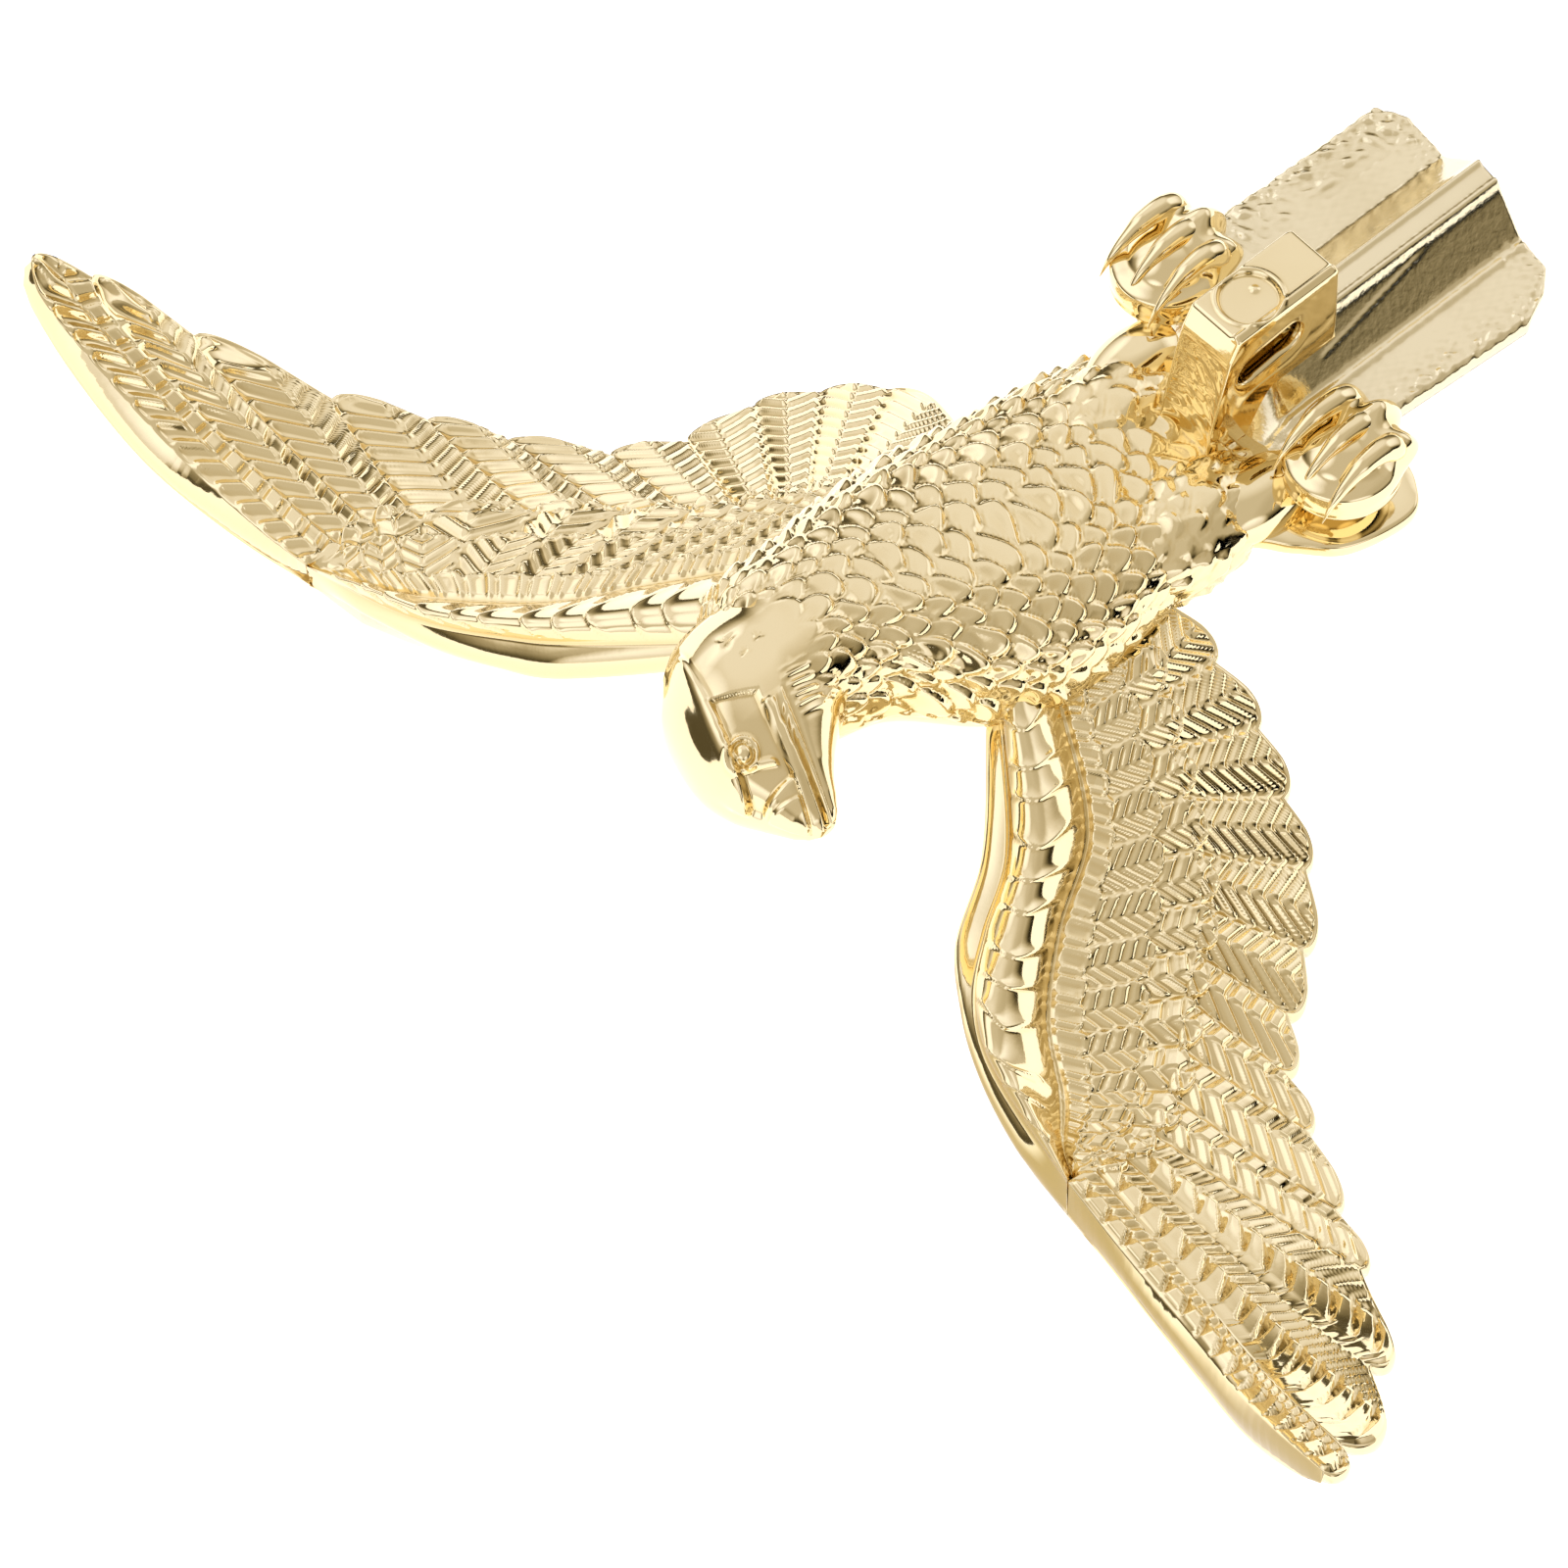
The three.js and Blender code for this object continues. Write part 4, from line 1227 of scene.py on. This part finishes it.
@dataclass
class Leg:
    """Thigh, clenched foot with toes and claws, and the flat rim round it at the parting line."""

    side: int
    # Each ball's middle in X, Y and Z, then its half sizes across, along and deep
    thigh: tuple = (7.0, 8.5, -4.6, 6.2, 10.5, 5.6)
    foot: tuple = (14.2, 24.0, 1.2, 5.9, 6.1, 5.2)
    shin: tuple = (9.8, 16.4, -3.2, 4.0, 6.6, 3.6)
    # Points along and round a ball, along and round a toe, and along the rim's outline
    ball_points: tuple = (76, 100)
    toe_points: tuple = (110, 40)
    rim_points: int = 160
    toe_spacing: float = 3.5
    # Place along Y, height and radius along a toe, from its root over the knuckle to the claw's point
    toe_path: tuple = ((4.0, 0.6, 1.25), (3.7, 2.8, 1.35), (1.9, 4.15, 1.3), (-0.5, 4.25, 1.05),
                       (-2.7, 3.3, 0.7), (-4.7, 1.8, 0.38), (-6.1, -0.3, 0.05))
    rim_top: float = -4.2
    rim_thick: float = 2.0
    # Distance across of the line on which both faces of the rim close, inside the body
    rim_middle: float = 4.0
    rim: tuple = ((4, 2), (11.6, 4.5), (12, 12.5), (15.8, 16.6), (19.5, 21), (20.8, 28.2), (18.4, 31),
                  (14, 32), (4, 33))
    left_rim: tuple = ((4, 2), (9.5, 5), (9.5, 13), (12.5, 18.5), (17.5, 22.5), (20.4, 27.5), (18.4, 31),
                       (14, 32), (4, 33))

    @property
    def label(self) -> str:
        """left or right."""
        return "right" if self.side > 0 else "left"

    def plain(self, way: np.ndarray) -> np.ndarray:
        """No relief."""
        return 0.0 * way[..., 0]

    def scaly(self, way: np.ndarray) -> np.ndarray:
        """Scale feathers over directions from the thigh's middle, in millimetres."""
        angle = np.arctan2(way[..., 2], way[..., 0])
        return 0.5 * Breast(scales_round=14).scales(angle, self.thigh[4] * way[..., 1] + self.thigh[1])

    def fist(self, way: np.ndarray) -> np.ndarray:
        """Relief of the clenched foot: a wall with a hump behind each toe on the tail side, and a
        hollow in front of it under the claws.

        Args:
            way: Directions from the foot's middle.

        Returns:
            Height in millimetres.
        """
        x, y, z = np.moveaxis(way, -1, 0)
        wall = smooth((y - 0.3) / 0.35) * smooth((z + 0.2) / 0.5)
        humps = 0.65 + 0.35 * np.cos(2 * math.pi * x * self.foot[3] / self.toe_spacing)
        hollow = smooth((0.4 - y) / 0.3) * smooth((z - 0.2) / 0.35)
        return 1.7 * wall * humps - 1.1 * hollow + 0.25 * hump((z + 0.3) / 0.08)

    def ball(self, name: str, sizes: tuple, skin: Skin, relief: Callable) -> bpy.types.Object:
        """An ellipsoid by polar angles with a relief on it.

        Args:
            name: Name of the piece.
            sizes: Middle x, y and z, then half sizes across, along and deep.
            skin: Finish.
            relief: Height over each direction from the middle.

        Returns:
            The piece.
        """
        cx, cy, cz, across, along, deep = sizes
        rows, columns = self.ball_points
        theta = np.linspace(0.01, math.pi - 0.01, rows)[:, None]
        phi = full_turn(columns)[None]
        way = np.stack([np.sin(theta) * np.cos(phi), -np.cos(theta) + 0 * phi,
                        np.sin(theta) * np.sin(phi)], axis=-1)
        points = way * (np.array([across, along, deep]) + relief(way)[..., None])
        points += np.array([self.side * cx, cy - LEAN * self.side * cx, cz])
        return dress(grid_object(name, points), skin)

    def toe(self, index: int) -> bpy.types.Object:
        """A toe: rings round a smooth path that hooks over the foot, thick at the knuckles and
        narrowing to a claw.

        Args:
            index: 0 for the toe next to the lug, 2 for the outermost.

        Returns:
            The piece.
        """
        rows, columns = self.toe_points
        x = self.side * (self.foot[0] + self.toe_spacing * (index - 1))
        turn = 0.35 * self.side * (1 - index)
        knots = [(i, x - turn * (4.6 - y) / 9.5, self.foot[1] + y - LEAN * x, self.foot[2] + z)
                 for i, (y, z, _) in enumerate(self.toe_path)]
        s = np.linspace(0, len(self.toe_path) - 1, rows)
        line = Track(knots)(s)
        way = unit(np.gradient(line, axis=0))
        side = np.array([1.0, 0.0, 0.0]) + 0 * way
        normal = unit(np.cross(way, side))
        radius = np.interp(s, range(len(self.toe_path)), [r for _, _, r in self.toe_path])
        knuckles = 1 + 0.1 * hump((s - 1.4) / 0.35) + 0.08 * hump((s - 3.3) / 0.3)
        angle = full_turn(columns)[None, :, None]
        size = (radius * knuckles)[:, None, None]
        points = line[:, None] + size * (side[:, None] * np.cos(angle) + normal[:, None] * np.sin(angle))
        return dress(grid_object(f"{self.label}_toe_{index + 1}", points), Skin.POLISHED)

    def rim_plate(self) -> bpy.types.Object:
        """The flat rim: its outline, a smooth curve, shrunk to a line inside for the top and the
        bottom face, with a rounded edge between them.

        Returns:
            The piece.
        """
        outline = self.rim if self.side > 0 else self.left_rim
        knots = [(i, self.side * x, y - LEAN * self.side * x * (0 < i < len(outline) - 1), 0.0)
                 for i, (x, y) in enumerate(outline)]
        line = Track(knots)(np.linspace(0, len(outline) - 1, self.rim_points))
        spine = line.copy()
        spine[:, 0] = self.side * self.rim_middle
        inward = unit(spine - line)
        thick = self.rim_thick
        rows = []
        # Share of the way to the line inside, depth under the top, and how far the edge is drawn in
        for share, drop, pull in (
            (1, 0, 0), (0.4, 0, 0), (0, 0, 0.5), (0, 0.15, 0.15), (0, 0.5, 0),
            (0, thick - 0.5, 0), (0, thick - 0.1, 0.3), (0.4, thick, 0), (1, thick, 0),
        ):
            row = mix(line, spine, share) + inward * pull
            row[:, 2] = self.rim_top - drop
            rows.append(row)
        return dress(grid_object(f"{self.label}_rim", np.stack(rows)), Skin.POLISHED)

    def build(self) -> list[bpy.types.Object]:
        """Makes every piece of the leg.

        Returns:
            The pieces.
        """
        return [
            self.ball(f"{self.label}_thigh", self.thigh, Skin.FEATHERED, self.scaly),
            self.ball(f"{self.label}_shin", self.shin, Skin.POLISHED, self.plain),
            self.ball(f"{self.label}_foot", self.foot, Skin.POLISHED, self.fist),
            self.rim_plate(),
            *(self.toe(index) for index in range(3)),
        ]


@dataclass
class Tail:
    """Tail plate with a roof-shaped ridge along it and rough cast faces."""

    thick: float = 2.4
    start: float = 18.0
    # The far edge from left to right as (x, y), and the sides at the start
    far_edge: tuple = ((-15.7, 55.3), (-12.2, 56.9), (10.2, 54.1), (12.3, 51.7), (13.9, 48.0))
    start_left: float = -16.6
    start_right: float = 12.0
    # The ridge's section as (x, height)
    roof: tuple = ((-6.5, 0.0), (-1.0, 5.2), (1.8, 5.2), (6.2, 0.0))
    columns: int = 180
    rows: int = 156
    # How deep the near end sinks into the body, and how far the far end is rounded
    near_depth: float = 3.4
    end_round: float = 0.25
    lip_height: float = 0.4
    foot_height: float = 0.3
    lump_height: float = 0.3
    scratch_height: float = 0.12

    def ridge(self, x: np.ndarray) -> np.ndarray:
        """Height of the roof at x: the mean of its section over a short width, which softens it."""
        places, heights = np.array(self.roof).T
        taps = np.linspace(-0.35, 0.35, 7)
        return sum(np.interp(x + tap, places, heights) / len(taps) for tap in taps)

    def wires(self, x: np.ndarray, y: np.ndarray) -> np.ndarray:
        """Thin raised lines: a lip on both corners of the roof, one at its right foot and a scratch.

        Args:
            x: Place across, in millimetres.
            y: Place along.

        Returns:
            Height in millimetres.
        """
        _, left, right, foot = (corner[0] for corner in self.roof)
        lips = self.lip_height * hump((x - left + 0.1) / 0.45)
        lips = lips + self.lip_height * hump((x - right - 0.1) / 0.45)
        scratch = hump((x - 3.6 + 0.11 * (y - 36)) / 0.14) * smooth((y - 28) / 2) * smooth((46 - y) / 3)
        return lips + self.foot_height * hump((x - foot - 0.5) / 0.5) + self.scratch_height * scratch

    def skin(self, x: np.ndarray, y: np.ndarray, u: np.ndarray, border: np.ndarray) -> np.ndarray:
        """Unevenness of the flat faces: grain that is strongest along the border, a slow swell, and
        lumps near the left side.

        Args:
            x: Place across, in millimetres.
            y: Place along.
            u: Share of the way from the left side to the right.
            border: Nearness to the plate's border, from 0 to 1.

        Returns:
            Height in millimetres.
        """
        grain = ripple(x, y, 0 * x, 1.5, 11) * 0.12 + ripple(x, y, 0 * x, 0.8, 12) * 0.1
        peel = grain * mix(0.16, 1.0, border) + 0.05 * ripple(x, y, 0 * x, 4.0, 13)
        lumps = ripple(x, y, 0 * x, 2.4, 14) * smooth((0.24 - u) / 0.1) * smooth((y - 22) / 4)
        return peel + self.lump_height * np.maximum(lumps, -0.2)

    def build(self) -> bpy.types.Object:
        """Makes the tail: rings round the section, the top with its roof, softened edges and the
        casting's unevenness, closed to the plate's middle at both ends.

        Returns:
            The piece.
        """
        far = np.array(self.far_edge)
        u = np.linspace(0, 1, self.columns)
        v = np.linspace(0, 1, self.rows)[:, None]
        x_far = mix(far[0, 0], far[-1, 0], u)
        y = mix(self.start, np.interp(x_far, far[:, 0], far[:, 1]), v)
        ease = smooth((y - self.start) / 5.0)
        x = mix(mix(self.start_left, self.start_right, u), x_far, v) * mix(0.55, 1.0, ease)
        # About how many millimetres a point lies from the nearer side, and from the far end
        edge, end = np.minimum(u, 1 - u) * 30, (1 - v) * 38
        border = 1 - smooth((np.minimum(edge, end) - 1.0) / 3.5)
        ridge = self.ridge(x)
        height = mix(-self.near_depth, ridge + self.wires(x, y), ease)
        rounding = -0.5 * np.square(1 - np.clip(edge / 0.6, 0, 1))
        flat = 1 - smooth(ridge / 0.8)
        top = np.stack([x, y, height + self.skin(x, y, u, border) * flat + rounding], axis=-1)
        low = np.stack([x, y, np.full_like(x, -self.thick) - rounding], axis=-1)[:, ::-1]
        rings = np.concatenate([top, low], axis=1)
        middle_top = top.copy()
        middle_top[..., 2] = (top[..., 2] + low[:, ::-1, 2]) / 2
        middle = np.concatenate([middle_top, middle_top[:, ::-1]], axis=1)
        out = np.array([0.0, self.end_round, 0.0])
        points = np.concatenate([
            middle[:1], mix(middle, rings, 0.5)[:1], rings, mix(middle, rings, 0.85)[-1:] + out,
            mix(middle, rings, 0.4)[-1:] + out * 1.3, middle[-1:] + out * 1.3,
        ])
        return dress(grid_object("tail", points, close_ends=False), Skin.ROUGH)


@dataclass
class Lug:
    """Upright lug between the feet, with a slot through it and a round recess in its top."""

    x: float = 0.4
    thick: float = 6.8
    # Side view as (y, z), from the front foot round by the top
    outline: tuple = ((13.6, -3.0), (14.4, 2.6), (16.4, 11.8), (17.6, 14.3), (31.0, 14.3), (31.6, -3.0))
    # The slot's middle in Y and Z, its length, height and slope
    slot: tuple = (22.0, 8.6, 8.6, 3.8, 0.12)
    # The recess's middle in Y, its radius and depth
    recess: tuple = (22.1, 3.1, 0.5)
    columns: int = 320
    band_rows: int = 60
    slot_rows: int = 22
    # How far slot wall and band are kept back from the side faces
    soft: float = 0.35
    # Rows of a side face, from slot to border: share of the way, and depth under the face
    face_rows: tuple = ((0.02, 0.1), (0.06, 0.0), (0.3, 0.0), (0.6, 0.0), (0.9, 0.0), (0.965, 0.04),
                        (0.99, 0.15))
    front_bulge: float = 0.9
    front_bumps: float = 0.16

    def slot_edge(self, angle: np.ndarray) -> np.ndarray:
        """The slot's outline: two half rounds joined by straights.

        Args:
            angle: Angles round the slot's middle.

        Returns:
            Rows of (y, z).
        """
        y, z, length, height, slope = self.slot
        radius, reach = height / 2, (length - height) / 2
        a = angle - math.atan(slope)
        root = np.sqrt(np.maximum(radius ** 2 - np.square(reach * np.sin(a)), 0))
        cap = reach * np.abs(np.cos(a)) + root
        straight = radius / np.maximum(np.abs(np.sin(a)), TINY)
        size = np.where(np.abs(straight * np.cos(a)) <= reach, straight, cap)
        return np.stack([y + size * np.cos(angle), z + size * np.sin(angle)], axis=-1)

    def outer_edge(self, angle: np.ndarray) -> np.ndarray:
        """The lug's outline, where each ray from the slot's middle leaves the polygon, with its
        corners softened by a running mean of five points.

        Args:
            angle: Angles of the rays.

        Returns:
            Rows of (y, z).
        """
        centre = np.array(self.slot[:2])
        corners = np.array(self.outline) - centre
        far = np.full(angle.shape, np.inf)
        way = np.stack([np.cos(angle), np.sin(angle)], axis=-1)
        margin = 1e-6
        for a, b in zip(corners, np.roll(corners, -1, axis=0)):
            side = b - a
            down = way[:, 0] * side[1] - way[:, 1] * side[0]
            safe = np.where(np.abs(down) < TINY, TINY, down)
            ray = (a[0] * side[1] - a[1] * side[0]) / safe
            share = (a[0] * way[:, 1] - a[1] * way[:, 0]) / safe
            hit = (ray > 0) & (share > -margin) & (share < 1 + margin)
            far = np.where(hit & (ray < far), ray, far)
        edge = centre + way * far[:, None]
        padded = np.concatenate([edge[-2:], edge, edge[:2]])
        return np.stack([np.convolve(column, np.ones(5) / 5, mode="valid") for column in padded.T], axis=-1)

    def band_row(self, outer: np.ndarray, x: float) -> np.ndarray:
        """One row of the outer band, with the recess and a soft edge pressed into its top and the
        casting's bulge and bumps on its front.

        Args:
            outer: The lug's outline, rows of (y, z).
            x: Distance from the lug's middle.

        Returns:
            Rows of (y, z).
        """
        edge = outer.copy()
        y, z = outer.T
        half = self.thick / 2
        middle, radius, depth = self.recess
        reach = np.hypot(x, y - middle)
        sink = depth * (1 - smooth((reach - radius + 0.25) / 0.4))
        sink -= 0.2 * hump((reach - radius - 0.35) / 0.22)
        sink -= 0.25 * hump(np.hypot(x + 0.6, y - middle - 1.3) / 0.5)
        sink -= 0.3 * hump((half - 0.7 - x) / 0.35)
        edge[:, 1] -= np.where(z > self.outline[3][1] - 0.3, sink, 0.0)
        front = smooth((11.2 - z) / 1.5) * (y < 17)
        bumps = self.front_bumps * ripple(x + 0 * y, y, z, 1.7, 21)
        edge[:, 0] += front * (self.front_bulge * (1 - (x / half) ** 4) + bumps)
        return edge

    def build(self) -> bpy.types.Object:
        """Makes the lug as a ring round the slot: slot wall, side face, outer band and the other side
        face, each corner softened.

        Returns:
            The piece.
        """
        angle = full_turn(self.columns)
        inner, outer = self.slot_edge(angle), self.outer_edge(angle)
        half = self.thick / 2
        inside = half - self.soft

        def waist(x: float) -> np.ndarray:
            """The slot's outline at x, a little narrower and wider by turns."""
            return mix(np.array(self.slot[:2]), inner, 1 - 0.035 * math.cos(x / half * math.pi * 3))

        edges = [(x, waist(x)) for x in np.linspace(-inside, inside, self.slot_rows)]
        edges += [(half - drop, mix(inner, outer, share)) for share, drop in self.face_rows]
        edges += [(x, self.band_row(outer, x)) for x in np.linspace(inside, -inside, self.band_rows)]
        edges += [(drop - half, mix(inner, outer, share)) for share, drop in reversed(self.face_rows)]
        rows = [np.insert(edge, 0, self.x + x, axis=1) for x, edge in edges]
        piece = grid_object("lug", np.stack(rows), wrap_rows=True, close_ends=False)
        # Painted shade inside the slot
        self.paint_slot_shade(piece.data)
        return dress(piece, Skin.POLISHED)

    def paint_slot_shade(self, mesh: bpy.types.Mesh) -> None:
        """Paints shade on the slot's wall, where shade falls inside it: the vertices near the slot, inside
        both side faces.

        Args:
            mesh: The lug's mesh, changed in place.
        """
        x, y, z = (vertex_vectors(mesh, "co") / MILLIMETRE - SHIFT).T
        middle_y, middle_z, length, height, _ = self.slot
        within = np.maximum(np.abs(y - middle_y) - length / 2, np.abs(z - middle_z) - height / 2)
        inside = smooth((self.thick / 2 - 0.2 - np.abs(x - self.x)) / 0.5)
        paint_shade(mesh, smooth((0.6 - within) / 0.2) * inside)


@dataclass(frozen=True)
class Panel:
    """A soft bright or dark field of the room, as seen from the object.

    It is full where a direction's cosine with the middle reaches near, and gone where it falls to
    far.
    """

    middle: tuple[float, float, float]
    near: float
    far: float
    light: float

    def shine(self, shader: Shader, way: Socket) -> Socket:
        """The panel's light in a direction: its full light times the place of the cosine with its
        middle between far and near.

        Args:
            shader: The world's shader.
            way: The direction.

        Returns:
            The light, below nought where the panel is dark.
        """
        facing = shader.node("ShaderNodeVectorMath", {"operation": "DOT_PRODUCT"}, {
            0: way, 1: Vector(self.middle).normalized()}, "Value")
        return ((facing - self.far) * (1 / (self.near - self.far))).clamp() * self.light


@dataclass
class Studio:
    """Pale floor, soft light from the room and the camera at the photograph's angle."""

    # The camera's angles in degrees, the point it looks at and its distance from that in millimetres
    azimuth: float = 48.0
    elevation: float = 57.0
    aim: tuple = (0.0, -38.36, -10.55)
    distance: float = 855.0
    lens: float = 202.5
    sensor: float = 36.0
    clip: tuple = (0.01, 10.0)
    # The floor's radius and how far it lies under the object, in metres, and its corners
    floor_radius: float = 2.5
    floor_gap: float = 0.0002
    floor_sides: int = 96
    room_light: float = 0.10
    dim_tint: tuple = (1.0, 0.84, 0.48)
    bright_tint: tuple = (0.88, 0.91, 1.12)
    panels: tuple = (
        Panel((0.0, 0.0, 1.0), 0.45, 0.10, 0.60),
        Panel((-0.42, 0.42, 0.80), 0.95, 0.78, 0.32),
        Panel((-0.45, -0.50, 0.74), 0.96, 0.85, 0.75),
        Panel((0.30, -0.93, 0.20), 0.96, 0.90, 0.90),
        Panel((-0.90, 0.05, 0.35), 0.95, 0.88, 0.60),
        Panel((0.95, -0.20, 0.20), 0.97, 0.93, 0.80),
        Panel((0.10, 0.95, 0.30), 0.95, 0.88, 0.60),
        Panel((0.80, 0.50, 0.40), 0.93, 0.78, -0.11),
    )

    def camera(self) -> None:
        """Makes the scene's camera, which looks at the aim from the given azimuth and elevation."""
        data = bpy.data.cameras.new("camera")
        data.lens = self.lens
        data.sensor_width = self.sensor
        data.clip_start, data.clip_end = self.clip
        camera = linked("camera", data)
        a, e = math.radians(self.azimuth), math.radians(self.elevation)
        back = np.array([math.sin(a) * math.cos(e), -math.cos(a) * math.cos(e), math.sin(e)])
        right = np.array([math.cos(a), math.sin(a), 0.0])
        up = np.cross(back, right)
        place = to_frame(np.array(self.aim)) + back * self.distance * MILLIMETRE
        turn = Matrix(np.stack([right, up, back], axis=1).tolist()).to_4x4()
        camera.matrix_world = Matrix.Translation(Vector(place.tolist())) @ turn
        bpy.context.scene.camera = camera

    def floor(self) -> None:
        """Makes the pale floor: a wide disc just under the object."""
        ring = full_turn(self.floor_sides)
        radius = self.floor_radius
        corners = np.stack([radius * np.cos(ring), radius * np.sin(ring), 0 * ring - self.floor_gap], axis=-1)
        mesh = bpy.data.meshes.new("floor")
        mesh.from_pydata(corners.tolist(), [], [list(range(self.floor_sides))])
        mesh.materials.append(Paper().build())
        floor = linked("floor", mesh)

    def world(self) -> None:
        """Lights the room: an even light, with soft panels added to it or taken from it."""
        world = bpy.data.worlds.new("studio")
        bpy.context.scene.world = world
        world.use_nodes = True
        shader = Shader(world.node_tree)
        way = shader.node("ShaderNodeTexCoord", {}, {}, "Generated")
        light = self.room_light
        for panel in self.panels:
            light = panel.shine(shader, way) + light
        tint = shader.blend((light * 0.85).clamp(), (*self.dim_tint, 1.0), (*self.bright_tint, 1.0))
        back = shader.node("ShaderNodeBackground", {}, {"Color": tint, "Strength": light})
        shader.node("ShaderNodeOutputWorld", {}, {"Surface": back})

    def build(self) -> None:
        """Sets up camera, floor and light, with colours shown as they are."""
        self.camera()
        self.floor()
        self.world()
        bpy.context.scene.view_settings.view_transform = "Standard"


def main() -> None:
    """Sets up the studio and builds the casting piece by piece."""
    logging.basicConfig(level=logging.INFO, format="%(name)s: %(message)s")
    Studio().build()
    Breast().build()
    Head().build()
    LEFT_WING.build()
    RIGHT_WING.build()
    for side in (-1, 1):
        Leg(side).build()
    Tail().build()
    Lug().build()


if __name__ == "__main__":
    main()
